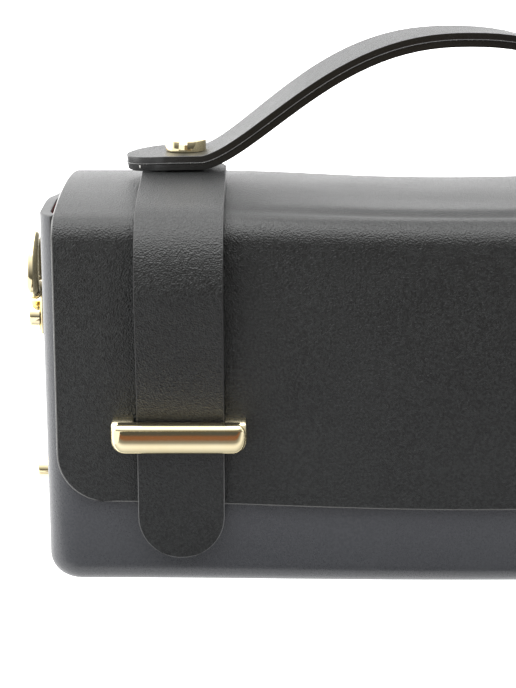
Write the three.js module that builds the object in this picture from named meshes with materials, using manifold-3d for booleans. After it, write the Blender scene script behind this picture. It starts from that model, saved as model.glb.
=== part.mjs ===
// A small structured box bag of smooth black leather, with gold fittings.
// Millimetres, +Z up. The front faces -Y, and depths are counted from the tub's front wall to the back.
import * as THREE from 'three';
import { mergeVertices } from 'three/addons/utils/BufferGeometryUtils.js';
import Module from 'manifold-3d';

const wasm = await Module();
wasm.setup();

// Driving sizes
const GAP = 0.3;
const TUB = {
  halfWidth: 120,
  depth: 84,
  wall: 1.9,
  corner: 10,
  footRound: 7,
  frontRim: 107.6,
  backRim: 102.9,
  rimFallsFrom: 22,
  rimFallsTo: 74,
  rimSpread: 0.4,
  sideBulge: 0.3,
  notchRim: 99,
};
const BOW = { front: 2.2, back: 1.4, span: 110 };
const LINING = { thick: 0.9, belowRim: 0.1 };
const FLAP = {
  halfWidth: 116.3,
  thick: 2.2,
  frontEdge: 26,
  backEdge: 34,
  cornerRound: 14,
  ridgeRound: 6.5,
  ridgeFoot: 101,
  domeRise: 3.1,
  creaseDepth: 0.7,
  creaseAt: 9.5,
  creaseWidth: 3,
  creaseSpan: 66,
};
const SAG = {
  top: { drop: 2.7, span: 80 },
  ridge: { drop: 0.9, span: 95 },
  edge: { drop: 1.8, span: 105 },
};
const STRAP = { centre: 81.5, width: 24.6, thick: 2.4, tip: 11, pastScrew: 17, topAt: 113.4, bulge: 4.3 };
const KEEPER = {
  width: 38.2,
  foot: 42.6,
  height: 8.6,
  leg: 6.3,
  front: 11.4,
  bar: 4.2,
  corner: 4,
  edge: 1.1,
  depthInWall: 0.9,
};
const HANDLE = {
  halfLength: 98.6,
  width: 24,
  layer: 1.93,
  flatTop: 118.9,
  rise: 35.6,
  archHalf: 76.4,
  archShoulder: 2.33,
  archPower: 1.5,
  twist: 8.7,
  twistPower: 0.7,
  droop: 1.3,
  droopFrom: 80,
};
const HANDLE_SCREW = {
  centre: 81.2,
  behind: 6,
  head: 6,
  headHeight: 3.3,
  shank: 2.5,
  collar: 4.5,
  flange: 6,
  flangeThick: 1.2,
  slot: 2.4,
  slotDeep: 1,
};
const TAB = { width: 14, thick: 2, lowEnd: 11, highEnd: 76 };
const RING = {
  wire: 1.75,
  out: 3.1,
  barHeight: 78.2,
  tall: 15.8,
  halfWidth: 7.6,
  corner: 3,
  knuckle: 2.6,
  knuckleLength: 10,
  plate: 1,
  plateWidth: 9,
  plateLow: 65,
};
const TAB_SCREW = { head: 4.8, headHeight: 3.1, shank: 2, upper: 69.7, lower: 21.5, dome: 0.7 };

const MID_DEPTH = TUB.depth / 2;
const FLAP_OFF = GAP + FLAP.thick;
const FRONT_REACH = MID_DEPTH + KEEPER.front;
const BACK_REACH = MID_DEPTH + FLAP_OFF + BOW.back;

// Materials
const leather = (color) => new THREE.MeshStandardMaterial({ color, roughness: 0.45, metalness: 0 });
const gold = () => new THREE.MeshStandardMaterial({ color: 0xd8c48a, roughness: 0.15, metalness: 1 });
const BLACK = 0x17181a;
const RED_BROWN = 0x6b2a1e;

// Small shared curves
function raisedCosine(x, span) {
  const reach = Math.min(Math.abs(x) / span, 1);
  return 0.5 * (1 + Math.cos(Math.PI * reach));
}

function smoothStep(low, high, value) {
  const share = THREE.MathUtils.clamp((value - low) / (high - low), 0, 1);
  return share * share * (3 - 2 * share);
}

// Closed geometry from points and triangles, turned so that its faces point out
function closedGeometry(points, faces) {
  const volume = faces.reduce((sum, [a, b, c]) => {
    const normal = new THREE.Vector3().crossVectors(points[b], points[c]);
    return sum + points[a].dot(normal);
  }, 0);
  const turned = volume < 0 ? faces.map(([a, b, c]) => [a, c, b]) : faces;
  const geometry = new THREE.BufferGeometry();
  geometry.setAttribute('position', new THREE.Float32BufferAttribute(points.flatMap((p) => p.toArray()), 3));
  geometry.setIndex(turned.flat());
  return geometry;
}

// Quads between neighbouring rings of points, each split into two triangles
function wallFaces(ringCount, count, wraps) {
  const faces = [];
  const total = ringCount * count;
  const last = wraps ? ringCount : ringCount - 1;
  for (let ring = 0; ring < last; ring += 1) {
    for (let i = 0; i < count; i += 1) {
      const a = ring * count + i;
      const b = ring * count + ((i + 1) % count);
      const c = (b + count) % total;
      const d = (a + count) % total;
      faces.push([a, b, c], [a, c, d]);
    }
  }
  return faces;
}

// A shell through closed outlines, closed by a fan over the first and the last
function shellThrough(rings) {
  const count = rings[0].length;
  const points = rings.flat();
  const faces = wallFaces(rings.length, count, false);
  const addFan = (ring, flip) => {
    const hub = points.length;
    const centre = ring.reduce((sum, p) => sum.add(p), new THREE.Vector3()).divideScalar(count);
    points.push(centre);
    const start = flip ? 0 : (rings.length - 1) * count;
    for (let i = 0; i < count; i += 1) {
      const a = start + i;
      const b = start + ((i + 1) % count);
      faces.push(flip ? [hub, b, a] : [hub, a, b]);
    }
  };
  addFan(rings[0], true);
  addFan(rings.at(-1), false);
  return closedGeometry(points, faces);
}

// A leather sheet through stations, each a row of outer points and the row of inner points behind it
function sheetThrough(stations) {
  const rings = stations.map(({ outer, inner }) => [...outer, ...inner.slice().reverse()]);
  const count = rings[0].length;
  const faces = wallFaces(rings.length, count, false);
  const addLadder = (start, flip) => {
    for (let i = 0; i < count / 2 - 1; i += 1) {
      const a = start + i;
      const b = start + count - 1 - i;
      const quad = [[a, a + 1, b - 1], [a, b - 1, b]];
      quad.forEach(([p, q, r]) => faces.push(flip ? [p, r, q] : [p, q, r]));
    }
  };
  addLadder(0, true);
  addLadder((rings.length - 1) * count, false);
  return closedGeometry(rings.flat(), faces);
}

// Joins and cuts
function toSolid(geometry) {
  const bare = geometry.clone();
  bare.deleteAttribute('normal');
  bare.deleteAttribute('uv');
  const merged = mergeVertices(bare, 1e-4);
  return new wasm.Manifold(new wasm.Mesh({
    numProp: 3,
    vertProperties: new Float32Array(merged.attributes.position.array),
    triVerts: new Uint32Array(merged.index.array),
  }));
}

function fromSolid(solid) {
  const mesh = solid.getMesh();
  const result = new THREE.BufferGeometry();
  result.setAttribute('position', new THREE.Float32BufferAttribute(mesh.vertProperties, 3));
  result.setIndex([...mesh.triVerts]);
  return result;
}

function cut(geometry, cutters) {
  return fromSolid(cutters.reduce((left, cutter) => left.subtract(toSolid(cutter)), toSolid(geometry)));
}

function join(geometries) {
  return fromSolid(geometries.map(toSolid).reduce((whole, piece) => whole.add(piece)));
}

function boxBetween(low, high) {
  const size = new THREE.Vector3().subVectors(high, low);
  const middle = new THREE.Vector3().addVectors(low, high).multiplyScalar(0.5);
  return new THREE.BoxGeometry(...size.toArray()).translate(...middle.toArray());
}

function screwBore(side) {
  const radius = HANDLE_SCREW.shank + GAP;
  const tall = 40;
  const bore = new THREE.CylinderGeometry(radius, radius, tall, 20);
  return bore.rotateX(Math.PI / 2).translate(side * HANDLE_SCREW.centre, HANDLE_SCREW.behind, STRAP.topAt);
}

// The tub's outline at one level: a rounded rectangle whose long sides bow and whose ends bulge
function tubOutline(inset, grow) {
  const halfX = TUB.halfWidth + grow - inset;
  const halfY = MID_DEPTH - inset;
  const round = Math.max(TUB.corner - inset, 1.5);
  const cornerSteps = 5;
  const longSteps = 12;
  const endSteps = 4;
  const corners = [
    { x: halfX - round, y: -halfY + round, from: -90, steps: longSteps },
    { x: halfX - round, y: halfY - round, from: 0, steps: endSteps },
    { x: -halfX + round, y: halfY - round, from: 90, steps: longSteps },
    { x: -halfX + round, y: -halfY + round, from: 180, steps: endSteps },
  ];
  const plain = corners.flatMap(({ x, y, from }, index) => {
    const before = corners.at(index - 1);
    const points = [];
    const leaveAngle = THREE.MathUtils.degToRad(before.from + 90);
    const leave = [before.x + round * Math.cos(leaveAngle), before.y + round * Math.sin(leaveAngle)];
    const startAngle = THREE.MathUtils.degToRad(from);
    const arrive = [x + round * Math.cos(startAngle), y + round * Math.sin(startAngle)];
    const sideSteps = corners[index].steps;
    for (let i = 1; i < sideSteps; i += 1) {
      const share = i / sideSteps;
      points.push([
        THREE.MathUtils.lerp(leave[0], arrive[0], share),
        THREE.MathUtils.lerp(leave[1], arrive[1], share),
      ]);
    }
    for (let i = 0; i <= cornerSteps; i += 1) {
      const angle = startAngle + (Math.PI / 2) * (i / cornerSteps);
      points.push([x + round * Math.cos(angle), y + round * Math.sin(angle)]);
    }
    return points;
  });
  return plain.map(([x, y]) => {
    const fullBow = y < 0 ? -BOW.front : BOW.back;
    const bow = fullBow * raisedCosine(x, BOW.span) * Math.min(1, Math.abs(y) / halfY);
    const atEnd = smoothStep(BOW.span, TUB.halfWidth, Math.abs(x));
    const bulge = Math.sign(x) * TUB.sideBulge * raisedCosine(y, MID_DEPTH) * atEnd;
    return new THREE.Vector2(x + bulge, y + bow);
  });
}

function rimHeight(y) {
  const fall = smoothStep(TUB.rimFallsFrom, TUB.rimFallsTo, y + MID_DEPTH);
  return THREE.MathUtils.lerp(TUB.frontRim, TUB.backRim, fall);
}

// One wall surface of the tub or lining, from its floor to a rim, as rings that rise
function wallRings(inset, floor, belowRim) {
  const round = Math.max(TUB.footRound - inset, 2);
  const steps = 3;
  const rings = [];
  for (let i = 0; i <= steps; i += 1) {
    const angle = (Math.PI / 2) * (i / steps);
    const level = floor + round * (1 - Math.cos(angle));
    const outline = tubOutline(inset + round * (1 - Math.sin(angle)), 0);
    rings.push(outline.map((p) => new THREE.Vector3(p.x, p.y, level)));
  }
  for (const share of [0.5, 1]) {
    const outline = tubOutline(inset, TUB.rimSpread * share);
    const foot = floor + round;
    rings.push(outline.map((p) => {
      const height = THREE.MathUtils.lerp(foot, rimHeight(p.y) - belowRim, share);
      return new THREE.Vector3(p.x, p.y, height);
    }));
  }
  return rings;
}

// A walled bowl between an outer and an inner surface
function bowl(outerInset, thick, floor, belowRim) {
  const outer = wallRings(outerInset, floor, belowRim);
  const inner = wallRings(outerInset + thick, floor + thick, belowRim);
  return shellThrough([...outer, ...inner.reverse()]);
}

// Low stretches of the front and back walls, so that the flap can turn over them between the two ends
function wallNotches(belowRim) {
  const halfWidth = FLAP.halfWidth + GAP;
  return [-1, 1].map((face) => {
    const outside = face * (MID_DEPTH + BOW.front + 1);
    const inside = face * (MID_DEPTH - TUB.corner - 1);
    const low = new THREE.Vector3(-halfWidth, Math.min(outside, inside), TUB.notchRim - belowRim);
    const high = new THREE.Vector3(halfWidth, Math.max(outside, inside), TUB.frontRim + 1);
    return boxBetween(low, high);
  });
}

// Keeper legs, as the clearance that they need in the flap and the tub
function keeperLegBoxes(side, clearance, fromDepth, toDepth) {
  const reach = KEEPER.width / 2;
  return [-1, 1].map((end) => {
    const outer = side * STRAP.centre + end * (reach + clearance);
    const inner = side * STRAP.centre + end * (reach - KEEPER.leg - clearance);
    const low = new THREE.Vector3(Math.min(outer, inner), fromDepth - MID_DEPTH, KEEPER.foot - clearance);
    const high = new THREE.Vector3(
      Math.max(outer, inner),
      toDepth - MID_DEPTH,
      KEEPER.foot + KEEPER.height + clearance,
    );
    return boxBetween(low, high);
  });
}

function tabScrewBores(side) {
  return [TAB_SCREW.upper, TAB_SCREW.lower].map((height) => {
    const bore = new THREE.CylinderGeometry(TAB_SCREW.shank + GAP, TAB_SCREW.shank + GAP, 30, 16);
    return bore.rotateZ(Math.PI / 2).translate(side * (TUB.halfWidth + 12), 0, height);
  });
}

function makeTub() {
  const cutters = wallNotches(0);
  for (const side of [-1, 1]) {
    cutters.push(...keeperLegBoxes(side, GAP, -KEEPER.front, TUB.wall + GAP));
    cutters.push(...tabScrewBores(side));
  }
  return cut(bowl(0, TUB.wall, 0, 0), cutters);
}

function makeLining() {
  const inset = TUB.wall + GAP;
  return cut(bowl(inset, LINING.thick, inset, LINING.belowRim), wallNotches(LINING.belowRim));
}

// The flap's outer face in the side view: depth and height at the ends of the bag, the sag at its
// middle, and how far it bows out there
function flapProfile() {
  const frontDepth = -FLAP_OFF;
  const backDepth = TUB.depth + FLAP_OFF;
  const ridge = FLAP.ridgeFoot + FLAP.ridgeRound;
  const rows = [];
  const frontRise = [0, 0.6, 2.4, 5.5, 9.5, FLAP.cornerRound, 25, 42, 59, FLAP.ridgeFoot - FLAP.frontEdge];
  for (const rise of frontRise) {
    const share = rise / (FLAP.ridgeFoot - FLAP.frontEdge);
    rows.push({
      depth: frontDepth,
      height: FLAP.frontEdge + rise,
      drop: THREE.MathUtils.lerp(SAG.edge.drop, SAG.ridge.drop, share),
      span: THREE.MathUtils.lerp(SAG.edge.span, SAG.ridge.span, share),
      bow: -BOW.front,
      rise,
    });
  }
  const ridgeSteps = 5;
  const ridgeEnd = Math.PI / 2 - Math.atan((2 * FLAP.domeRise) / (MID_DEPTH - FLAP.ridgeRound));
  for (let i = 1; i <= ridgeSteps; i += 1) {
    const angle = ridgeEnd * (i / ridgeSteps);
    rows.push({
      depth: frontDepth + FLAP.ridgeRound * (1 - Math.cos(angle)),
      height: FLAP.ridgeFoot + FLAP.ridgeRound * Math.sin(angle),
      drop: SAG.ridge.drop,
      span: SAG.ridge.span,
      bow: -BOW.front,
    });
  }
  const firstTop = rows.at(-1).depth;
  const lastTop = TUB.depth - firstTop;
  for (const depth of [6, 8, 9.5, 11, 14, 20, 30, MID_DEPTH, 54, 64, 72, 77]) {
    const share = (depth - firstTop) / (lastTop - firstTop);
    const dome = 1 - (2 * share - 1) ** 2;
    const settle = smoothStep(0, 0.35, share);
    rows.push({
      depth,
      height: ridge + FLAP.domeRise * dome,
      drop: THREE.MathUtils.lerp(SAG.ridge.drop, SAG.top.drop, settle),
      span: THREE.MathUtils.lerp(SAG.ridge.span, SAG.top.span, settle),
      bow: THREE.MathUtils.lerp(-BOW.front, BOW.back, share),
      crease: Math.max(0, 1 - Math.abs(depth - FLAP.creaseAt) / FLAP.creaseWidth),
    });
  }
  for (let i = ridgeSteps; i >= 0; i -= 1) {
    const angle = ridgeEnd * (i / ridgeSteps);
    rows.push({
      depth: backDepth - FLAP.ridgeRound * (1 - Math.cos(angle)),
      height: FLAP.ridgeFoot + FLAP.ridgeRound * Math.sin(angle),
      drop: SAG.top.drop * (i / ridgeSteps),
      span: SAG.top.span,
      bow: BOW.back,
    });
  }
  for (const rise of [42, 24, FLAP.cornerRound, 9.5, 5.5, 2.4, 0.6, 0]) {
    const height = FLAP.backEdge + rise;
    rows.push({ depth: backDepth, height, drop: 0, span: SAG.edge.span, bow: BOW.back, rise });
  }
  return rows;
}

function flapHalfWidth(rise = FLAP.cornerRound) {
  const short = Math.max(FLAP.cornerRound - rise, 0);
  return FLAP.halfWidth - FLAP.cornerRound + Math.sqrt(FLAP.cornerRound ** 2 - short ** 2);
}

function flapPoint(row, x) {
  const crease = (row.crease ?? 0) * FLAP.creaseDepth * raisedCosine(x, FLAP.creaseSpan);
  const depth = row.depth + row.bow * raisedCosine(x, BOW.span);
  const height = row.height - row.drop * raisedCosine(x, row.span) - crease;
  return new THREE.Vector3(x, depth - MID_DEPTH, height);
}

function flapInnerDirection(rows, index) {
  const before = rows[Math.max(index - 1, 0)];
  const after = rows[Math.min(index + 1, rows.length - 1)];
  const along = new THREE.Vector2(after.depth - before.depth, after.height - before.height).normalize();
  return new THREE.Vector3(0, along.y, -along.x);
}

const FLAP_ROWS = flapProfile();

function makeFlap() {
  const halfColumns = 7;
  const stations = FLAP_ROWS.map((row, index) => {
    const halfWidth = flapHalfWidth(row.rise);
    const inward = flapInnerDirection(FLAP_ROWS, index).multiplyScalar(FLAP.thick);
    const outer = [];
    for (let i = -halfColumns; i <= halfColumns; i += 1) {
      outer.push(flapPoint(row, halfWidth * (i / halfColumns)));
    }
    return { outer, inner: outer.map((p) => p.clone().add(inward)) };
  });
  const cutters = [-1, 1].flatMap((side) => [
    ...keeperLegBoxes(side, GAP, -KEEPER.front, 1),
    screwBore(side),
  ]);
  return cut(sheetThrough(stations), cutters);
}

function flapTopAtScrew() {
  const row = FLAP_ROWS.find(({ depth }) => depth === MID_DEPTH);
  return flapPoint(row, STRAP.centre).z;
}

// A flat strip of even thickness: stations on its outer face, each with its outward and sideways
// directions and its half width
function strip(stations, thick) {
  return sheetThrough(stations.map(({ point, outward, sideways, halfWidth }) => {
    const step = sideways.clone().multiplyScalar(halfWidth);
    const outer = [point.clone().sub(step), point.clone().add(step)];
    const back = outward.clone().multiplyScalar(-thick);
    return { outer, inner: outer.map((p) => p.clone().add(back)) };
  }));
}

// Half width of a strip with round ends, from the way left to the nearer end
function roundEnd(wayLeft, halfWidth) {
  const least = 0.8;
  const short = Math.max(halfWidth - wayLeft, 0);
  return Math.max(Math.sqrt(Math.max(halfWidth ** 2 - short ** 2, 0)), least);
}

// The strap's outer face in the side view: over the top, in a wide bend past the flap's ridge, and down
function strapCurve() {
  const bow = BOW.front * raisedCosine(STRAP.centre - STRAP.width / 2, BOW.span);
  const face = -FLAP_OFF - GAP - STRAP.thick - bow;
  const route = [
    { depth: MID_DEPTH + STRAP.pastScrew, height: STRAP.topAt - 0.45 },
    { depth: MID_DEPTH, height: STRAP.topAt },
    { depth: 26, height: STRAP.topAt - 0.5 },
    { depth: 13, height: STRAP.topAt - 1.6 },
    { depth: 6, height: STRAP.topAt - 2.6 },
    { depth: 2.2, height: STRAP.topAt - 3.25 },
    { depth: face + 5.2, height: STRAP.topAt - 4.1 },
    { depth: face + 3, height: STRAP.topAt - 5.35 },
    { depth: face + 0.7, height: STRAP.topAt - 7.1 },
    { depth: face - STRAP.bulge * 0.22, height: STRAP.topAt - 9.1 },
    { depth: face - STRAP.bulge * 0.7, height: STRAP.topAt - 13 },
    { depth: face - STRAP.bulge, height: STRAP.topAt - 21.4 },
    { depth: face - STRAP.bulge * 0.9, height: 84 },
    { depth: face - STRAP.bulge * 0.15, height: 63 },
    { depth: face, height: 54 },
    { depth: face, height: STRAP.tip },
  ];
  const points = route.map(({ depth, height }) => new THREE.Vector3(0, depth - MID_DEPTH, height));
  return new THREE.CatmullRomCurve3(points, false, 'centripetal');
}

function makeStrap(side) {
  const curve = strapCurve();
  const length = curve.getLength();
  const halfWidth = STRAP.width / 2;
  const endSteps = [0, 0.05, 0.15, 0.3, 0.5, 0.75, 1];
  const middleSteps = 36;
  const ways = [
    ...endSteps.map((share) => share * halfWidth),
    ...Array.from({ length: middleSteps }, (_, i) => (
      THREE.MathUtils.lerp(halfWidth, length - halfWidth, (i + 1) / (middleSteps + 1))
    )),
    ...endSteps.map((share) => length - share * halfWidth).reverse(),
  ];
  const across = new THREE.Vector3(1, 0, 0);
  const stations = ways.map((way) => {
    const share = way / length;
    const point = curve.getPointAt(share).setX(side * STRAP.centre);
    const along = curve.getTangentAt(share);
    const outward = new THREE.Vector3(0, along.z, -along.y);
    const wayLeft = Math.min(way, length - way);
    return { point, outward, sideways: across, halfWidth: roundEnd(wayLeft, halfWidth) };
  });
  return cut(strip(stations, STRAP.thick), [screwBore(side)]);
}

// The keeper: a staple with round corners, its legs through the flap into the tub's wall
function makeKeeper(side) {
  const reach = KEEPER.width / 2;
  const inner = reach - KEEPER.leg;
  const front = -MID_DEPTH - KEEPER.front;
  const back = -MID_DEPTH + KEEPER.depthInWall;
  const round = KEEPER.corner;
  const outline = new THREE.Shape();
  outline.moveTo(-reach, back);
  outline.lineTo(-reach, front + round);
  outline.absarc(-reach + round, front + round, round, Math.PI, 1.5 * Math.PI, false);
  outline.absarc(reach - round, front + round, round, 1.5 * Math.PI, 2 * Math.PI, false);
  outline.lineTo(reach, back);
  outline.lineTo(inner, back);
  outline.lineTo(inner, front + KEEPER.bar);
  outline.lineTo(-inner, front + KEEPER.bar);
  outline.lineTo(-inner, back);
  outline.closePath();
  const body = new THREE.ExtrudeGeometry(outline, {
    depth: KEEPER.height - 2 * KEEPER.edge,
    curveSegments: 6,
    bevelEnabled: true,
    bevelThickness: KEEPER.edge,
    bevelSize: KEEPER.edge,
    bevelOffset: -KEEPER.edge,
    bevelSegments: 2,
  });
  return body.translate(side * STRAP.centre, 0, KEEPER.foot + KEEPER.edge);
}

// The handle's upper face along the bag: ends that droop a little, and an arch between the two screws
function archShare(x) {
  return Math.max(1 - Math.abs(x / HANDLE.archHalf) ** HANDLE.archShoulder, 0);
}

function handleTop(x) {
  const end = Math.max(Math.abs(x) - HANDLE.droopFrom, 0) / (HANDLE.halfLength - HANDLE.droopFrom);
  return HANDLE.flatTop + HANDLE.rise * archShare(x) ** HANDLE.archPower - HANDLE.droop * end ** 2;
}

function makeHandleLayer(offset) {
  const halfWidth = HANDLE.width / 2;
  const endSteps = [0, 0.05, 0.15, 0.3, 0.5, 0.75, 1];
  const endPlaces = endSteps.map((share) => HANDLE.halfLength - share * halfWidth);
  const archSteps = 34;
  const archPlaces = Array.from({ length: archSteps + 1 }, (_, i) => (
    HANDLE.archHalf * (1 - (2 * i) / archSteps)
  ));
  const places = [...endPlaces.map((x) => -x), ...archPlaces, ...endPlaces].sort((a, b) => a - b);
  const step = 0.05;
  const stations = places.map((x) => {
    const slope = (handleTop(x + step) - handleTop(x - step)) / (2 * step);
    const outward = new THREE.Vector3(-slope, 0, 1).normalize();
    const twist = THREE.MathUtils.degToRad(HANDLE.twist) * archShare(x) ** HANDLE.twistPower;
    const sideways = new THREE.Vector3(Math.sin(twist), -Math.cos(twist), 0);
    const point = new THREE.Vector3(x, 0, handleTop(x)).addScaledVector(outward, -offset);
    return { point, outward, sideways, halfWidth: roundEnd(HANDLE.halfLength - Math.abs(x), halfWidth) };
  });
  const layer = strip(stations, HANDLE.layer).translate(0, HANDLE_SCREW.behind, 0);
  return cut(layer, [screwBore(-1), screwBore(1)]);
}

// A turned piece on a Z axis from a profile of radius and height
function turned(profile, sides) {
  return new THREE.LatheGeometry(profile.map(([radius, height]) => new THREE.Vector2(radius, height)), sides)
    .rotateX(Math.PI / 2);
}

// The handle's screw: slotted head, shank, a collar between strap and handle, and a flange under the flap
function makeHandleScrew(side) {
  const flangeTop = flapTopAtScrew() - FLAP.thick - 1.5 * GAP;
  const collarLow = STRAP.topAt + GAP;
  const collarTop = HANDLE.flatTop - 2 * HANDLE.layer - 2 * GAP;
  const headFoot = HANDLE.flatTop + GAP;
  const headTop = headFoot + HANDLE_SCREW.headHeight;
  const chamfer = 0.5;
  const profile = [
    [0, flangeTop - HANDLE_SCREW.flangeThick],
    [HANDLE_SCREW.flange, flangeTop - HANDLE_SCREW.flangeThick],
    [HANDLE_SCREW.flange, flangeTop],
    [HANDLE_SCREW.shank, flangeTop],
    [HANDLE_SCREW.shank, collarLow],
    [HANDLE_SCREW.collar, collarLow],
    [HANDLE_SCREW.collar, collarTop],
    [HANDLE_SCREW.shank, collarTop],
    [HANDLE_SCREW.shank, headFoot],
    [HANDLE_SCREW.head - chamfer, headFoot],
    [HANDLE_SCREW.head, headFoot + chamfer],
    [HANDLE_SCREW.head, headTop - chamfer],
    [HANDLE_SCREW.head - chamfer, headTop],
    [0, headTop],
  ];
  const slotHalf = HANDLE_SCREW.slot / 2;
  const slotReach = HANDLE_SCREW.head + 1;
  const slot = boxBetween(
    new THREE.Vector3(-slotHalf, -slotReach, headTop - HANDLE_SCREW.slotDeep),
    new THREE.Vector3(slotHalf, slotReach, headTop + 1),
  );
  return cut(turned(profile, 20), [slot]).translate(side * HANDLE_SCREW.centre, HANDLE_SCREW.behind, 0);
}

// The side tab: a flat strip up the end wall
const WALL_FACE = TUB.halfWidth + TUB.sideBulge + TUB.rimSpread + GAP;
const TAB_FACE = WALL_FACE + TAB.thick;
const PLATE_FACE = TAB_FACE + GAP + RING.plate;

function acrossTab(side, near, far, halfWidth, low, high) {
  return boxBetween(
    new THREE.Vector3(Math.min(side * near, side * far), -halfWidth, low),
    new THREE.Vector3(Math.max(side * near, side * far), halfWidth, high),
  );
}

function makeSideTab(side) {
  const sheet = acrossTab(side, WALL_FACE, TAB_FACE, TAB.width / 2, TAB.lowEnd, TAB.highEnd);
  return cut(sheet, tabScrewBores(side));
}

// The ring: one casting of a D, the knuckle round its foot, and a plate under the upper stud
function makeSideRing(side) {
  const bend = new THREE.Path();
  const half = RING.halfWidth;
  const round = RING.corner;
  bend.moveTo(-half + round, 0);
  bend.lineTo(half - round, 0);
  bend.absarc(half - round, round, round, -Math.PI / 2, 0, false);
  bend.absellipse(0, round, half, RING.tall - round, 0, Math.PI, false);
  bend.absarc(-half + round, round, round, Math.PI, 1.5 * Math.PI, false);
  const route = bend.getSpacedPoints(26).slice(0, -1);
  const sides = 8;
  const rings = route.map((place, i) => {
    const before = route.at(i - 1);
    const after = route[(i + 1) % route.length];
    const along = new THREE.Vector2().subVectors(after, before).normalize();
    return Array.from({ length: sides }, (_, k) => {
      const angle = (2 * Math.PI * k) / sides;
      const out = RING.wire * Math.cos(angle);
      const across = RING.wire * Math.sin(angle);
      return new THREE.Vector3(out, place.x + across * along.y, place.y - across * along.x);
    });
  });
  const barOut = side * (TAB_FACE + RING.out);
  const wire = closedGeometry(rings.flat(), wallFaces(rings.length, sides, true));
  wire.translate(barOut, 0, RING.barHeight);
  const knuckle = new THREE.CylinderGeometry(RING.knuckle, RING.knuckle, RING.knuckleLength, 16);
  knuckle.translate(barOut, 0, RING.barHeight);
  const plateBack = TAB_FACE + GAP;
  const plate = acrossTab(side, plateBack, PLATE_FACE, RING.plateWidth / 2, RING.plateLow, RING.barHeight);
  return cut(join([wire, knuckle, plate]), tabScrewBores(side));
}

// A tab's stud: low domed head outside, plain shank into the wall
function makeTabScrew(side, height, seat) {
  const foot = seat + GAP;
  const top = foot + TAB_SCREW.headHeight;
  const profile = [
    [0, TUB.halfWidth - TUB.wall + 2 * GAP],
    [TAB_SCREW.shank, TUB.halfWidth - TUB.wall + 2 * GAP],
    [TAB_SCREW.shank, foot],
    [TAB_SCREW.head, foot],
    [TAB_SCREW.head, top - TAB_SCREW.dome],
    [TAB_SCREW.head - TAB_SCREW.dome, top],
    [0, top],
  ];
  return turned(profile, 16).rotateY(side * Math.PI / 2).translate(0, 0, height);
}

// Assembly
const bag = new THREE.Group();
bag.position.y = (FRONT_REACH - BACK_REACH) / 2;

function add(name, geometry, material) {
  const mesh = new THREE.Mesh(geometry, material);
  mesh.name = name;
  bag.add(mesh);
}

add('body_tub', makeTub(), leather(BLACK));
add('lining', makeLining(), leather(RED_BROWN));
add('flap', makeFlap(), leather(BLACK));
add('handle_upper', makeHandleLayer(0), leather(BLACK));
add('handle_lower', makeHandleLayer(HANDLE.layer + GAP), leather(BLACK));
for (const [name, side] of [['left', -1], ['right', 1]]) {
  add(`strap_${name}`, makeStrap(side), leather(BLACK));
  add(`keeper_${name}`, makeKeeper(side), gold());
  add(`handle_screw_${name}`, makeHandleScrew(side), gold());
  add(`side_tab_${name}`, makeSideTab(side), leather(BLACK));
  add(`side_ring_${name}`, makeSideRing(side), gold());
  add(`tab_screw_upper_${name}`, makeTabScrew(side, TAB_SCREW.upper, PLATE_FACE), gold());
  add(`tab_screw_lower_${name}`, makeTabScrew(side, TAB_SCREW.lower, TAB_FACE), gold());
}

export default bag;
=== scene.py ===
"""Looks of the black leather box bag: its leather pieces, gold fittings, floor, light and camera.

Pieces are shaped in millimetres, with the tub's middle at the origin, and are moved into the frame
at the end.
"""

from __future__ import annotations

import logging
import math
from collections.abc import Callable, Sequence
from dataclasses import dataclass, field
from enum import Enum

import bmesh
import bpy
from mathutils import Matrix, Vector

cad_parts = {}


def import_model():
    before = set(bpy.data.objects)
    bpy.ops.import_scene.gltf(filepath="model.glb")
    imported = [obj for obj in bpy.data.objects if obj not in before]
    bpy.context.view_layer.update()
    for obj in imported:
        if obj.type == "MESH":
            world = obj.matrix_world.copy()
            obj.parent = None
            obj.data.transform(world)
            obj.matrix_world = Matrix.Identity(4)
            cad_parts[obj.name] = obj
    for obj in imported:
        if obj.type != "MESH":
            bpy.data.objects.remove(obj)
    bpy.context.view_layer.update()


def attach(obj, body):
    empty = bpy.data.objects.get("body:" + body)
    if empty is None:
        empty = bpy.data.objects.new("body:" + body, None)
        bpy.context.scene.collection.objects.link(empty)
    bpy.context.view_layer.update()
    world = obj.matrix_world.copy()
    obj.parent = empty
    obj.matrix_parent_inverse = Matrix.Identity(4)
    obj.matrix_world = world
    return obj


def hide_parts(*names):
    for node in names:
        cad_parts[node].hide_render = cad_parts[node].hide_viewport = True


LOG = logging.getLogger("box_bag")

MM = 0.001
MIDDLE_SHIFT_MM = 3.75
TO_FRAME = Matrix.Translation((0.0, MIDDLE_SHIFT_MM * MM, 0.0)) @ Matrix.Scale(MM, 4)
GAP_MM = 0.3
# Points closer than this are joined.
CLOSE_MM = 1e-4
# Places closer than this count as the same.
NEAR_MM = 0.01
# An edge of a box that covers less than this along an axis doesn't run along it.
LEVEL_MM = 1.0
NOISE_MIDDLE = 0.5
# The share of its half width that a strip's outermost row keeps.
NOSE = 0.4
# The share of a turned rim's size by which its middle point lies inside the corner.
RIM_BEND = 0.3

Rgb = tuple[float, float, float]
Span = tuple[float, float]
Colour = Rgb | bpy.types.NodeSocket
Inputs = dict[str | int, object]


class Side(Enum):
    """The two ends of the bag, with the sign of their X."""

    LEFT = -1
    RIGHT = 1

    @property
    def word(self) -> str:
        """The name's ending for a piece on this side."""
        return self.name.lower()


class Slot(Enum):
    """The record's material slots."""

    LEATHER = "black_leather"
    LINING = "red_lining"
    GOLD = "gold"


def raised_cosine(place: float, span: float) -> float:
    """A soft hump along a line: 1 at the middle, 0 at the span's end and beyond."""
    return 0.5 * (1.0 + math.cos(math.pi * min(abs(place) / span, 1.0)))


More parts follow.
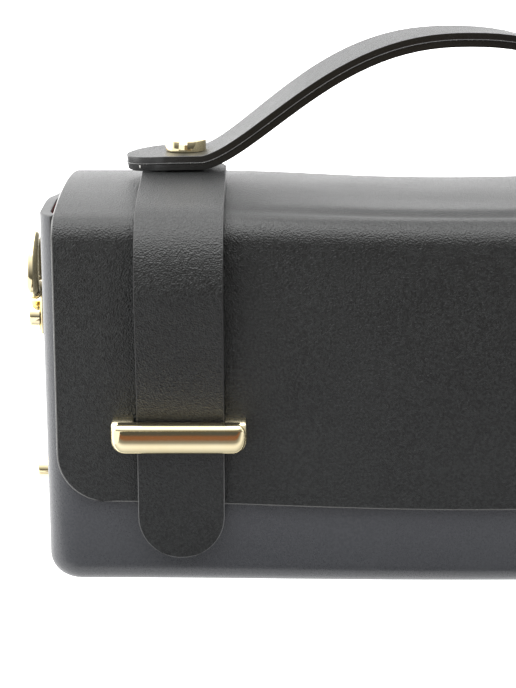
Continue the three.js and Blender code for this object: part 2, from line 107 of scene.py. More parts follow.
def smooth_step(low: float, high: float, value: float) -> float:
    """A soft step of a value, from 0 at low to 1 at high."""
    share = min(max((value - low) / (high - low), 0.0), 1.0)
    return share * share * (3.0 - 2.0 * share)


def mix(start: float, end: float, share: float) -> float:
    """A straight mix of two values."""
    return start + (end - start) * share


def spread(start: float, end: float, steps: int) -> list[float]:
    """Even places after start, up to and with end."""
    return [mix(start, end, (i + 1) / steps) for i in range(steps)]


def round_rises(radius: float, steps: int) -> list[float]:
    """Heights above a round corner's edge, from 0 to its radius, closest together at the edge."""
    return [radius * (1.0 - math.cos(0.5 * math.pi * i / steps)) for i in range(steps + 1)]


def corner_rows(radius: float, steps: int) -> list[tuple[float, float]]:
    """Rows of a sheet's round corners: each one's rise at the sides and its extra rise between them."""
    rises = round_rises(radius, steps)
    return [(rise, radius * row / steps - rise) for row, rise in enumerate(rises)]


def round_end(way_left: float, radius: float) -> float:
    """Half the width of a strip with round ends, at some way from the nearer end."""
    short = max(radius - way_left, 0.0)
    return math.sqrt(max(radius**2 - short**2, 0.0))


def round_in(radius: float, away: float) -> float:
    """How far a round corner lies inside its square one, at some way from the end."""
    return radius - round_end(away, radius)


def end_rows(half_width: float, steps: int) -> list[float]:
    """Ways from a strip's tip to its rows along the round end, from the nose to the full width."""
    start = math.asin(NOSE)
    return [half_width * (1.0 - math.cos(angle)) for angle in [start, *spread(start, math.pi / 2.0, steps)]]


def nose_out(way_left: float, half_width: float, share: float) -> float:
    """How far a row bows out to a strip's round tip, at a place across from -1 to 1."""
    nose = half_width * (1.0 - math.sqrt(1.0 - NOSE**2))
    return nose * (1.0 - smooth_step(nose, half_width, way_left)) * (1.0 - share**2)


def rim_points(radius: float, top: float, size: float) -> list[tuple[float, float]]:
    """Radius and height of three points round a turned piece's upper rim, from its side to its top."""
    inset = RIM_BEND * size
    return [(radius, top - size), (radius - inset, top - inset), (radius - size, top)]


def runs_along(edge: bmesh.types.BMEdge, axis: int) -> bool:
    """Whether an edge of a box runs along X, Y or Z, which are 0, 1 and 2."""
    return abs(edge.verts[0].co[axis] - edge.verts[1].co[axis]) > LEVEL_MM


class Value:
    """A shader value that can be used in Python arithmetic."""

    def __init__(self, graph: Graph, socket: bpy.types.NodeSocket) -> None:
        """Keeps the graph that the value belongs to and the socket that gives it."""
        self.graph = graph
        self.socket = socket

    def _join(self, operation: str, first: object, second: object) -> Value:
        """The result of a Math node for two values or numbers."""
        return self.graph.value("ShaderNodeMath", 0, {0: first, 1: second}, operation=operation)

    def __add__(self, other: object) -> Value:
        """Sum."""
        return self._join("ADD", self, other)

    __radd__ = __add__

    def __sub__(self, other: object) -> Value:
        """Difference."""
        return self._join("SUBTRACT", self, other)

    def __rsub__(self, other: object) -> Value:
        """Difference from a number."""
        return self._join("SUBTRACT", other, self)

    def __mul__(self, other: object) -> Value:
        """Product."""
        return self._join("MULTIPLY", self, other)

    __rmul__ = __mul__

    def stepped(self, low: float, high: float) -> Value:
        """A soft step of this value: 0 below low, 1 above high."""
        inputs = {"Value": self, "From Min": low, "From Max": high}
        return self.graph.value("ShaderNodeMapRange", "Result", inputs, interpolation_type="SMOOTHSTEP")


class Graph:
    """A node tree under construction."""

    def __init__(self, tree: bpy.types.NodeTree) -> None:
        """Empties the tree and keeps it."""
        tree.nodes.clear()
        self.tree = tree

    def feed(self, socket: bpy.types.NodeSocket, given: object) -> None:
        """Links or sets one input.

        Args:
            socket: The input socket.
            given: A value or socket to link, or a number or colour to set.
        """
        source = given.socket if isinstance(given, Value) else given
        if isinstance(source, bpy.types.NodeSocket):
            self.tree.links.new(source, socket)
        else:
            socket.default_value = source

    def node(self, kind: str, inputs: Inputs, **settings: object) -> bpy.types.Node:
        """Adds one node.

        Args:
            kind: The node's type.
            inputs: What feeds its input sockets, by their names or numbers.
            settings: Its properties, which are set first.

        Returns:
            The new node.
        """
        node = self.tree.nodes.new(kind)
        for name, setting in settings.items():
            setattr(node, name, setting)
        for key, given in inputs.items():
            self.feed(node.inputs[key], given)
        return node

    def value(self, kind: str, output: str | int, inputs: Inputs, **settings: object) -> Value:
        """Adds one node and takes one of its outputs as a value."""
        return Value(self, self.node(kind, inputs, **settings).outputs[output])

    def places(self, space: str = "Object") -> bpy.types.NodeSocket:
        """Coordinates of one kind."""
        return self.node("ShaderNodeTexCoord", {}).outputs[space]

    def axes(self, space: str = "Object") -> dict[str, Value]:
        """Coordinates of one kind, split into X, Y and Z."""
        parts = self.node("ShaderNodeSeparateXYZ", {"Vector": self.places(space)})
        return {axis: Value(self, parts.outputs[axis]) for axis in "XYZ"}

    def noise(self, size_mm: float, detail: float, rough: float = 0.5) -> Value:
        """Smooth noise on Object coordinates.

        Args:
            size_mm: The size of one patch.
            detail: How many finer layers are added.
            rough: How strong the finer layers are.

        Returns:
            Noise about its middle of 0.5.
        """
        scale = 1.0 / (size_mm * MM)
        inputs = {"Vector": self.places(), "Scale": scale, "Detail": detail, "Roughness": rough}
        return self.value("ShaderNodeTexNoise", "Fac", inputs, noise_dimensions="3D")

    def cells(self, size_mm: float) -> Value:
        """Pebbled cells on Object coordinates, as the distance from each one's middle."""
        inputs = {"Vector": self.places(), "Scale": 1.0 / (size_mm * MM), "Randomness": 1.0}
        return self.value("ShaderNodeTexVoronoi", "Distance", inputs, feature="F1", distance="EUCLIDEAN")

    def blend(self, share: Value, first: Colour, second: Colour) -> bpy.types.NodeSocket:
        """A mix of two colours.

        Args:
            share: How much of the second colour shows.
            first: Linear colour, or the socket that gives it.
            second: Linear colour, or the socket that gives it.

        Returns:
            The colour socket.
        """
        node = self.node("ShaderNodeMix", {"Factor": share}, data_type="RGBA")
        sockets = [socket for socket in node.inputs if socket.type == "RGBA"]
        for socket, colour in zip(sockets, (first, second)):
            self.feed(socket, (*colour, 1.0) if isinstance(colour, tuple) else colour)
        return next(socket for socket in node.outputs if socket.type == "RGBA")

    def bump(self, height: Value, height_mm: float, strength: float) -> bpy.types.NodeSocket:
        """The normal of a bumpy surface whose height of 1 stands for some millimetres."""
        inputs = {"Height": height, "Distance": height_mm * MM, "Strength": strength}
        return self.node("ShaderNodeBump", inputs).outputs["Normal"]

    def surface(self, inputs: Inputs) -> None:
        """Ends a material's graph with one surface shader."""
        shader = self.node("ShaderNodeBsdfPrincipled", inputs)
        self.node("ShaderNodeOutputMaterial", {"Surface": shader.outputs["BSDF"]})


def new_material(name: str) -> tuple[bpy.types.Material, Graph]:
    """An empty node material.

    Args:
        name: The material's name.

    Returns:
        The material and its graph.
    """
    material = bpy.data.materials.new(name)
    material.use_nodes = True
    return material, Graph(material.node_tree)


@dataclass(frozen=True)
class Finish:
    """What all the finishes share: a name, a colour and the way to a material."""

    name: str
    colour: Rgb

    def inputs(self, graph: Graph) -> Inputs:
        """What feeds the surface shader."""
        raise NotImplementedError

    def make(self) -> bpy.types.Material:
        """Builds the material.

        Returns:
            The material.
        """
        material, graph = new_material(self.name)
        graph.surface(self.inputs(graph))
        return material


@dataclass(frozen=True)
class LeatherFinish(Finish):
    """Smooth dyed leather with a fine grain.

    A share is what a pattern adds to the height or the tone, and a sheen what it adds to the roughness.
    """

    worn: Rgb
    rough: float = 0.36
    grain_mm: float = 0.5
    grain_height_mm: float = 0.44
    grain_strength: float = 0.8
    grain_share: float = 0.5
    fine_size: float = 0.6
    fine_share: float = 0.4
    fine_sheen: float = 0.22
    pore_mm: float = 0.7
    pore_share: float = 0.15
    speck_mm: float = 0.72
    speck_span: Span = (0.36, 0.64)
    speck_share: float = 0.8
    cloud_mm: float = 24.0
    cloud_span: Span = (0.3, 0.75)
    cloud_share: float = 0.2
    cloud_sheen: float = 0.1
    refraction: float = 1.5

    def inputs(self, graph: Graph) -> Inputs:
        """Pebbled grain with pores, and specks and clouds in tone and sheen.

        Args:
            graph: The material's graph.

        Returns:
            What feeds the surface shader.
        """
        grain = graph.cells(self.grain_mm)
        fine = graph.noise(self.grain_mm * self.fine_size, 3.0)
        pores = graph.noise(self.pore_mm, 2.0)
        clouds = graph.noise(self.cloud_mm, 2.0)
        specks = graph.noise(self.speck_mm, 1.0)
        height = grain * self.grain_share + fine * self.fine_share + pores * self.pore_share
        cloud_tone = clouds.stepped(*self.cloud_span) * self.cloud_share
        tone = cloud_tone + specks.stepped(*self.speck_span) * self.speck_share
        cloud_rough = self.rough + (clouds - NOISE_MIDDLE) * self.cloud_sheen
        return {
            "Base Color": graph.blend(tone, self.colour, self.worn),
            "Roughness": cloud_rough + (fine - NOISE_MIDDLE) * self.fine_sheen,
            "Normal": graph.bump(height, self.grain_height_mm, self.grain_strength),
            "IOR": self.refraction,
        }


@dataclass(frozen=True)
class EdgeFinish(Finish):
    """Painted and burnished cut edge of leather.

    Its paint can be made a paler grey near the foot of the bag, which is painted light from the bright
    floor.
    """

    painted_glint: Rgb
    rough: float = 0.24
    painted_glint_from: float = 0.66
    painted_glint_step: float = 0.12
    painted_light_low: float = 0.0
    painted_light_span_m: Span = (0.035, 0.06)
    drag_mm: float = 2.4
    drag_share: float = 0.7
    drag_sheen: float = 0.15
    fibre_mm: float = 0.45
    fibre_share: float = 0.3
    bump_mm: float = 0.08
    bump_strength: float = 0.4
    refraction: float = 1.6

    def inputs(self, graph: Graph) -> Inputs:
        """Waxy, uneven paint with a fibre bump and small pale flecks, which are painted glints.

        Args:
            graph: The material's graph.

        Returns:
            What feeds the surface shader.
        """
        drag = graph.noise(self.drag_mm, 2.0)
        fibre = graph.noise(self.fibre_mm, 2.0)
        # Painted glints: small pale flecks in the paint's colour.
        painted_glints = fibre.stepped(self.painted_glint_from, self.painted_glint_from + self.painted_glint_step)
        paint = graph.blend(painted_glints, self.colour, self.painted_glint)
        # Painted light: a paler grey near the foot of the bag, where the floor lights the edges.
        if self.painted_light_low:
            painted_light_fade = graph.axes()["Z"].stepped(*self.painted_light_span_m)
            paint = graph.blend(painted_light_fade, (self.painted_light_low,) * 3, paint)
        height = drag * self.drag_share + fibre * self.fibre_share
        return {
            "Base Color": paint,
            "Roughness": self.rough + (drag - NOISE_MIDDLE) * self.drag_sheen,
            "Normal": graph.bump(height, self.bump_mm, self.bump_strength),
            "IOR": self.refraction,
        }


@dataclass(frozen=True)
class GoldFinish(Finish):
    """Polished pale gold plate with faint rubbing marks."""

    deep: Rgb
    rough: float = 0.07
    wave_mm: float = 6.0
    wave_span: Span = (0.3, 0.8)
    wave_height_mm: float = 0.05
    wave_strength: float = 0.15
    rub_mm: float = 0.7
    rub_detail: float = 0.65
    rub_middle: float = 0.4
    rub_sheen: float = 0.12

    def inputs(self, graph: Graph) -> Inputs:
        """Clear metal, slightly uneven in tone and polish.

        Args:
            graph: The material's graph.

        Returns:
            What feeds the surface shader.
        """
        wave = graph.noise(self.wave_mm, 2.0)
        rub = graph.noise(self.rub_mm, 4.0, self.rub_detail)
        return {
            "Base Color": graph.blend(wave.stepped(*self.wave_span), self.colour, self.deep),
            "Metallic": 1.0,
            "Roughness": self.rough + (rub - self.rub_middle) * self.rub_sheen,
            "Normal": graph.bump(wave, self.wave_height_mm, self.wave_strength),
        }


@dataclass(frozen=True)
class ThreadFinish(Finish):
    """Waxed sewing thread."""

    rough: float = 0.5
    fibre_mm: float = 0.2
    fibre_sheen: float = 0.3
    dull_share: float = 0.6
    dull_lift: float = 0.02
    bump_mm: float = 0.05
    bump_strength: float = 0.4

    def inputs(self, graph: Graph) -> Inputs:
        """Fine twisted fibre with a dull wax.

        Args:
            graph: The material's graph.

        Returns:
            What feeds the surface shader.
        """
        fibre = graph.noise(self.fibre_mm, 2.0)
        dull = tuple(self.dull_share * part + self.dull_lift for part in self.colour)
        return {
            "Base Color": graph.blend(fibre, self.colour, dull),
            "Roughness": self.rough + (fibre - NOISE_MIDDLE) * self.fibre_sheen,
            "Normal": graph.bump(fibre, self.bump_mm, self.bump_strength),
        }


@dataclass
class Finishes:
    """All the bag's materials."""

    leather: bpy.types.Material
    strap: bpy.types.Material
    tub: bpy.types.Material
    edge: bpy.types.Material
    strap_edge: bpy.types.Material
    handle_edge: bpy.types.Material
    rim: bpy.types.Material
    seam: bpy.types.Material
    lining: bpy.types.Material
    gold: bpy.types.Material
    satin: bpy.types.Material
    thread: bpy.types.Material

    @classmethod
    def make(cls) -> Finishes:
        """Builds every material once.

        Returns:
            The materials.
        """
        black = (0.0004, 0.0005, 0.0005)
        black_worn = (0.0125, 0.0138, 0.0134)
        tub = (0.035, 0.0366, 0.0415)
        tub_worn = (0.048, 0.0498, 0.055)
        paint = (0.006, 0.006, 0.006)
        finishes = {
            "leather": LeatherFinish("black calf", black, black_worn),
            "strap": LeatherFinish("black strap calf", black, black_worn, rough=0.32),
            "tub": LeatherFinish("black tub calf", tub, tub_worn, rough=0.3, grain_height_mm=0.1),
            "edge": EdgeFinish("worn edge", (0.1, 0.099, 0.095), (0.15, 0.148, 0.14)),
            # The strap's edges take painted light: a paler grey near the foot of the bag.
            "strap_edge": EdgeFinish("strap edge", paint, (0.02, 0.0195, 0.019), rough=0.45, painted_light_low=0.09),
            "handle_edge": EdgeFinish("black edge paint", (0.004, 0.004, 0.004), (0.03, 0.03, 0.028)),
            "rim": EdgeFinish("rim paint", (0.05, 0.05, 0.051), (0.12, 0.118, 0.115), rough=0.5),
            "seam": EdgeFinish("seam", paint, (0.085, 0.083, 0.077), painted_glint_from=0.57),
            "lining": LeatherFinish("red lining", (0.24, 0.04, 0.03), (0.32, 0.06, 0.045), rough=0.7),
            "gold": GoldFinish("pale gold plate", (0.9, 0.79, 0.51), (0.86, 0.73, 0.44)),
            "satin": GoldFinish("satin gold plate", (0.88, 0.79, 0.55), (0.83, 0.73, 0.48), rough=0.27),
            "thread": ThreadFinish("pale thread", (0.7, 0.69, 0.66)),
        }
        return cls(**{name: finish.make() for name, finish in finishes.items()})


@dataclass
class Piece:
    """A sub-assembly of the bag, with the materials that it takes its own from."""

    finishes: Finishes


class Mould:
    """A mesh in the making, in millimetres about the tub's middle."""

    def __init__(self) -> None:
        """Starts an empty mesh."""
        self.bm = bmesh.new()

    def sheet(self, columns: int, rows: int, place: Callable[[int, int], Vector]) -> None:
        """A grid laid into a shape.

        Args:
            columns: Steps across.
            rows: Steps along.
            place: Where the vertex of a column and a row goes.
        """
        half = 0.5
        bmesh.ops.create_grid(self.bm, x_segments=columns, y_segments=rows, size=half)
        for vert in self.bm.verts:
            column = round((vert.co.x + half) * columns)
            row = round((vert.co.y + half) * rows)
            vert.co = place(column, row)

    def block(self, low: Vector, high: Vector) -> list[bmesh.types.BMVert]:
        """A box between two corners.

        Args:
            low: The lowest corner.
            high: The highest corner.

        Returns:
            The box's vertices.
        """
        size = high - low
        matrix = Matrix.Translation((low + high) / 2) @ Matrix.Diagonal((*size, 1.0))
        return bmesh.ops.create_cube(self.bm, size=1.0, matrix=matrix)["verts"]

    def round_edges(self, edges: Sequence[bmesh.types.BMEdge], radius: float, segments: int) -> None:
        """Rounds some edges.

        Args:
            edges: The edges.
            radius: The rounding's size.
            segments: Its steps.
        """
        bmesh.ops.bevel(
            self.bm,
            geom=list(edges),
            offset=radius,
            offset_type="OFFSET",
            segments=segments,
            profile=0.5,
            affect="EDGES",
            material=-1,
            clamp_overlap=True,
        )

    def turn(self, profile: Sequence[tuple[float, float]], steps: int) -> None:
        """Turns a profile about the Z axis.

        Args:
            profile: Radius and height of each point, first and last on the axis.
            steps: Steps round the axis.
        """
        verts = [self.bm.verts.new((radius, 0.0, height)) for radius, height in profile]
        edges = [self.bm.edges.new(pair) for pair in zip(verts, verts[1:])]
        bmesh.ops.spin(
            self.bm,
            geom=verts + edges,
            axis=(0.0, 0.0, 1.0),
            cent=(0.0, 0.0, 0.0),
            angle=2.0 * math.pi,
            steps=steps,
            use_merge=True,
        )
        bmesh.ops.remove_doubles(self.bm, verts=self.bm.verts[:], dist=CLOSE_MM)
        bmesh.ops.recalc_face_normals(self.bm, faces=self.bm.faces[:])

    def tube(self, route: Sequence[Vector], radius: float, widths: Sequence[float]) -> None:
        """A closed loop of round wire.

        Args:
            route: The loop's points.
            radius: The wire's radius.
            widths: How much of the radius there is at each point.
        """
        curve = bpy.data.curves.new("route", "CURVE")
        curve.dimensions = "3D"
        curve.bevel_depth = radius
        curve.bevel_resolution = 5
        spline = curve.splines.new("POLY")
        spline.points.add(len(route) - 1)
        for point, place, width in zip(spline.points, route, widths):
            point.co = (*place, 1.0)
            point.radius = width
        spline.use_cyclic_u = True
        wire = bpy.data.objects.new("route", curve)
        self.bm.from_mesh(wire.to_mesh())
        bpy.data.objects.remove(wire)

    def move(self, matrix: Matrix) -> None:
        """Moves the whole mesh."""
        bmesh.ops.transform(self.bm, matrix=matrix, verts=self.bm.verts[:])

    def slice_at(self, normal: Vector, places: Sequence[float]) -> None:
        """Cuts the faces along parallel planes.

        Args:
            normal: The planes' direction.
            places: Their distances from the origin.
        """
        for place in places:
            bmesh.ops.bisect_plane(
                self.bm,
                geom=self.bm.verts[:] + self.bm.edges[:] + self.bm.faces[:],
                plane_co=normal * place,
                plane_no=normal,
                dist=CLOSE_MM,
            )

    def finish(
        self, name: str, materials: Sequence[bpy.types.Material], smooth: bool = True
    ) -> bpy.types.Object:
        """Makes the mesh an object in the frame.

        Args:
            name: The object's name.
            materials: Its materials.
            smooth: Whether its faces are shaded smooth.

        Returns:
            The object.
        """
        self.move(TO_FRAME)
        mesh = bpy.data.meshes.new(name)
        self.bm.to_mesh(mesh)
        self.bm.free()
        if smooth:
            mesh.shade_smooth()
        else:
            mesh.shade_flat()
        for material in materials:
            mesh.materials.append(material)
        piece = bpy.data.objects.new(name, mesh)
        bpy.context.scene.collection.objects.link(piece)
        return piece


def thicken(piece: bpy.types.Object, thick_mm: float, offset: float) -> None:
    """Gives a sheet its thickness, with painted cut edges.

    Args:
        piece: The sheet.
        thick_mm: Its thickness.
        offset: -1 to grow behind its face, 0 to grow both ways.
    """
    wall = piece.modifiers.new("thickness", "SOLIDIFY")
    wall.thickness = thick_mm * MM
    wall.offset = offset
    wall.use_even_offset = True
    wall.material_offset_rim = 1


def soften(
    piece: bpy.types.Object, width_mm: float, segments: int, angle_deg: float = 50.0, clamp: bool = True
) -> None:
    """Rounds the sharp edges of a piece.

    Args:
        piece: The piece.
        width_mm: The rounding's size.
        segments: Its steps.
        angle_deg: Edges sharper than this are rounded.
        clamp: Whether the shortest edge of the piece limits the rounding.
    """
    edge = piece.modifiers.new("edge", "BEVEL")
    edge.width = width_mm * MM
    edge.segments = segments
    edge.profile = 0.5
    edge.limit_method = "ANGLE"
    edge.angle_limit = math.radians(angle_deg)
    edge.use_clamp_overlap = clamp
    edge.harden_normals = True
    edge.material = len(piece.data.materials) - 1


def carve(piece: bpy.types.Object, cutter: bpy.types.Object) -> None:
    """Cuts one object out of another and removes the cutter.

    Args:
        piece: The object that is cut.
        cutter: The shape that is taken away.
    """
    cut = piece.modifiers.new("cut", "BOOLEAN")
    cut.operation = "DIFFERENCE"
    cut.solver = "EXACT"
    cut.object = cutter
    bpy.context.view_layer.update()
    evaluated = piece.evaluated_get(bpy.context.evaluated_depsgraph_get())
    mesh = bpy.data.meshes.new_from_object(evaluated)
    piece.modifiers.clear()
    piece.data = mesh
    bpy.data.objects.remove(cutter)


def settle(piece: bpy.types.Object, slot: Slot, *nodes: str) -> None:
    """Ties a finished piece to the frame.

    Args:
        piece: The piece.
        slot: The record's material slot. Not used.
        nodes: The solids that it stands for.
    """
    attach(piece, "root")
    if nodes:
        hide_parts(*nodes)
    LOG.info("piece %s", piece.name)


@dataclass
class TubShape:
    """Sizes that the tub, its lining and the flap share."""

    half_width: float = 120.0
    half_depth: float = 42.0
    wall: float = 3.1
    corner: float = 10.0
    foot: float = 7.0
    front_rim: float = 107.6
    back_rim: float = 102.9
    rim_falls_from: float = 22.0
    rim_falls_to: float = 74.0
    rim_spread: float = 0.4
    side_bulge: float = 0.3
    notch_rim: float = 99.0
    notch_half: float = 116.45
    rim_blend: float = 1.0
    bow_front: float = 2.2
    bow_back: float = 1.4
    bow_span: float = 110.0

    def bow(self, x: float, front: bool) -> float:
        """How far a long wall stands out in Y at one place along the bag."""
        full = -self.bow_front if front else self.bow_back
        return full * raised_cosine(x, self.bow_span)

    def rim_height(self, y: float) -> float:
        """The rim's height on an end wall, at one place from front to back."""
        fall = smooth_step(self.rim_falls_from, self.rim_falls_to, y + self.half_depth)
        return mix(self.front_rim, self.back_rim, fall)


@dataclass
class OpenBox:
    """The moulded tub, or the lining inside it: an open box with round corners."""

    name: str
    slot: Slot
    inset: float
    thick: float
    below_rim: float
    shape: TubShape = field(default_factory=TubShape)
    corner_steps: int = 10
    foot_steps: int = 7
    edge_round: float = 0.4

    def build(self, face: bpy.types.Material, edge: bpy.types.Material) -> None:
        """Builds the box.

        Args:
            face: The wall's material.
            edge: The rim's material.
        """
        shape = self.shape
        mould = Mould()
        half_x = shape.half_width - self.inset
        half_y = shape.half_depth - self.inset
        mould.block(Vector((-half_x, -half_y, self.inset)), Vector((half_x, half_y, shape.front_rim)))
        lid = max(mould.bm.faces, key=lambda side: side.calc_center_median().z)
        bmesh.ops.delete(mould.bm, geom=[lid], context="FACES_ONLY")
        uprights = [e for e in mould.bm.edges if runs_along(e, 2)]
        mould.round_edges(uprights, shape.corner - self.inset, self.corner_steps)
        foot = [e for e in mould.bm.edges if all(v.co.z < self.inset + NEAR_MM for v in e.verts)]
        mould.round_edges(foot, shape.foot - self.inset, self.foot_steps)
        notch = shape.notch_rim - self.below_rim
        cuts = (
            [-shape.notch_half, *range(-100, 101, 10), shape.notch_half],
            range(-30, 31, 3),
            [25.0, 45.0, 65.0, 82.0, notch, 102.0, 105.0],
        )
        for normal, places in zip(Matrix.Identity(3), cuts):
            mould.slice_at(normal, places)
        self._open_walls(mould, notch)
        for vert in mould.bm.verts:
            vert.co = self._settle(vert.co, half_y)
        piece = mould.finish(self.name, [face, edge])
        thicken(piece, self.thick, -1.0)
        soften(piece, self.edge_round, 3, clamp=False)
        settle(piece, self.slot, self.name)

    def _open_walls(self, mould: Mould, notch: float) -> None:
        """Takes away the tops of the long walls, where the flap turns over them.

        Args:
            mould: The box.
            notch: The height that is left of the long walls.
        """
        shape = self.shape
        gone = []
        for face in mould.bm.faces:
            middle = face.calc_center_median()
            on_long_wall = abs(middle.y) > shape.half_depth - shape.corner
            if on_long_wall and abs(middle.x) < shape.notch_half and middle.z > notch:
                gone.append(face)
        bmesh.ops.delete(mould.bm, geom=gone, context="FACES")

    def _settle(self, place: Vector, half_y: float) -> Vector:
        """Bows the long walls, bulges the ends and lets the rim fall towards the back.

        Args:
            place: A vertex of the straight box.
            half_y: Half the box's depth.

        Returns:
            Its place in the real shape.
        """
        shape = self.shape
        bow = shape.bow(place.x, place.y < 0.0) * min(1.0, abs(place.y) / half_y)
        at_end = smooth_step(shape.bow_span, shape.half_width, abs(place.x))
        bulge = shape.side_bulge * raised_cosine(place.y, shape.half_depth) * at_end
        lift = place.z / shape.front_rim
        out = bulge + shape.rim_spread * lift * at_end
        height = place.z
        low = shape.notch_rim - shape.rim_blend
        if height > low:
            rim = shape.rim_height(place.y) - self.below_rim
            height = mix(low, rim, (height - low) / (shape.front_rim - low))
        return Vector((place.x + math.copysign(out, place.x), place.y + bow, height))


@dataclass
class FlapRow:
    """One row of the flap's outer face, in the side view.

    Its rise is its height above a round corner's edge, and its lift how much higher it runs between
    the sides.
    """

    depth: float
    height: float
    drop: float
    span: float
    bow: float
    rise: float = math.inf
    lift: float = 0.0


@dataclass
class Flap(Piece):
    """The one leather sheet from the back, over the domed top, down the front."""

    shape: TubShape = field(default_factory=TubShape)
    half_width: float = 116.3
    thick: float = 2.2
    front_edge: float = 26.0
    back_edge: float = 34.0
    corner: float = 14.0
    ridge_round: float = 6.5
    ridge_foot: float = 101.0
    dome: float = 3.1
    crease_deep: float = 1.05
    crease_at: float = 8.9
    crease_wide: float = 3.4
    crease_span: float = 100.0
    edge_drop: float = 1.8
    ridge_drop: float = 0.9
    top_drop: float = 2.7
    edge_span: float = 105.0
    ridge_span: float = 95.0
    top_span: float = 80.0
    lift_power: int = 30
    settles_by: float = 0.35
    crease_above: float = 2.0
    edge_round: float = 0.65
    columns: int = 58
    corner_steps: int = 12
    front_steps: int = 16
    ridge_steps: int = 10
    top_steps: int = 46
    back_steps: int = 12

    @property
    def off(self) -> float:
        """How far the outer face stands off the tub."""
        return GAP_MM + self.thick

    def ridge(self, angle: float) -> tuple[float, float]:
        """How far in and how high the round of a ridge has come at an angle."""
        inward = self.ridge_round * (1.0 - math.cos(angle))
        return inward, self.ridge_foot + self.ridge_round * math.sin(angle)

    def rows(self) -> list[FlapRow]:
        """The outer face's rows, from the front edge over the top to the back edge.

        Returns:
            The rows.
        """
        shape = self.shape
        depth = 2.0 * shape.half_depth
        front = -self.off
        back = depth + self.off
        rows = []
        corner = corner_rows(self.corner, self.corner_steps)
        tall = self.ridge_foot - self.front_edge
        upper = [(rise, 0.0) for rise in spread(self.corner, tall, self.front_steps)]
        for rise, lift in [*corner, *upper]:
            share = rise / tall
            drop = mix(self.edge_drop, self.ridge_drop, share)
            span = mix(self.edge_span, self.ridge_span, share)
            rows.append(FlapRow(front, self.front_edge + rise, drop, span, -shape.bow_front, rise, lift))
        end = 0.5 * math.pi - math.atan(2.0 * self.dome / (shape.half_depth - self.ridge_round))
        turns = spread(0.0, end, self.ridge_steps)
        for inward, height in map(self.ridge, turns):
            rows.append(FlapRow(front + inward, height, self.ridge_drop, self.ridge_span, -shape.bow_front))
        first = rows[-1].depth
        last = depth - first
        crest = self.ridge_foot + self.ridge_round
        for place in spread(first, last, self.top_steps)[:-1]:
            share = (place - first) / (last - first)
            settled = smooth_step(0.0, self.settles_by, share)
            height = crest + self.dome * (1.0 - (2.0 * share - 1.0) ** 2)
            drop = mix(self.ridge_drop, self.top_drop, settled)
            span = mix(self.ridge_span, self.top_span, settled)
            rows.append(FlapRow(place, height, drop, span, mix(-shape.bow_front, shape.bow_back, share)))
        for angle in [end, *reversed(turns[:-1]), 0.0]:
            inward, height = self.ridge(angle)
            drop = self.top_drop * angle / end
            rows.append(FlapRow(back - inward, height, drop, self.top_span, shape.bow_back))
        tall = self.ridge_foot - self.back_edge
        upper = [(rise, 0.0) for rise in reversed(spread(self.corner, tall, self.back_steps)[:-1])]
        for rise, lift in [*upper, *reversed(corner)]:
            height = self.back_edge + rise
            rows.append(FlapRow(back, height, 0.0, self.edge_span, shape.bow_back, rise, lift))
        return rows

    def face(self, row: FlapRow, share: float) -> Vector:
        """A point of the outer face.

        Args:
            row: The row that it lies on.
            share: Its place along the row, from -1 to 1.

        Returns:
            The point.
        """
        x = share * (self.half_width - self.corner + round_end(row.rise, self.corner))
        away = abs(row.depth - self.crease_at) / self.crease_wide
        crease = self.crease_deep * math.exp(-away * away) * raised_cosine(x, self.crease_span)
        on_top = row.height > self.ridge_foot + self.crease_above
        depth = row.depth + row.bow * raised_cosine(x, self.shape.bow_span)
        lift = row.lift * (1.0 - abs(share) ** self.lift_power)
        height = row.height + lift - row.drop * raised_cosine(x, row.span) - (crease if on_top else 0.0)
        return Vector((x, depth - self.shape.half_depth, height))

    def build(self) -> None:
        """Builds the flap."""
        rows = self.rows()

        def place(column: int, row: int) -> Vector:
            """Where the vertex of a column and a row goes."""
            return self.face(rows[row], 2.0 * column / self.columns - 1.0)

        mould = Mould()
        mould.sheet(self.columns, len(rows) - 1, place)
        piece = mould.finish("flap", [self.finishes.leather, self.finishes.edge])
        thicken(piece, self.thick, -1.0)
        soften(piece, self.edge_round, 4)
        settle(piece, Slot.LEATHER, "flap")


def curve_through(points: Sequence[Vector], per_span: int) -> list[Vector]:
    """A smooth run of points through a few given ones.

    Args:
        points: The points that it passes.
        per_span: Steps between two of them.

    Returns:
        The run, with both ends.
    """
    run = []
    last = len(points) - 1
    for i in range(last):
        before = points[max(i - 1, 0)]
        after = points[min(i + 2, last)]
        start, end = points[i], points[i + 1]
        length = (end - start).length
        leave = (end - before).normalized() * length if i else end - start
        arrive = (after - start).normalized() * length if i + 1 < last else end - start
        for k in range(per_span):
            t = k / per_span
            at_start = 2.0 * t**3 - 3.0 * t**2 + 1.0
            at_leave = t**3 - 2.0 * t**2 + t
            at_end = -2.0 * t**3 + 3.0 * t**2
            at_arrive = t**3 - t**2
            run.append(start * at_start + leave * at_leave + end * at_end + arrive * at_arrive)
    run.append(points[-1].copy())
    return run


class Route:
    """A run of points that can be read by the way along it."""

    def __init__(self, points: Sequence[Vector]) -> None:
        """Keeps the points and the way to each.

        Args:
            points: The run, from its first point to its last.
        """
        self.points = list(points)
        self.ways = [0.0]
        for start, end in zip(self.points, self.points[1:]):
            self.ways.append(self.ways[-1] + (end - start).length)

    @property
    def length(self) -> float:
        """The whole way."""
        return self.ways[-1]

    def at(self, way: float) -> Vector:
        """The point after some way.

        Args:
            way: The way from the first point.

        Returns:
            The point.
        """
        way = min(max(way, 0.0), self.length)
        index = 0
        while index < len(self.ways) - 2 and self.ways[index + 1] < way:
            index += 1
        share = (way - self.ways[index]) / (self.ways[index + 1] - self.ways[index])
        return self.points[index].lerp(self.points[index + 1], share)


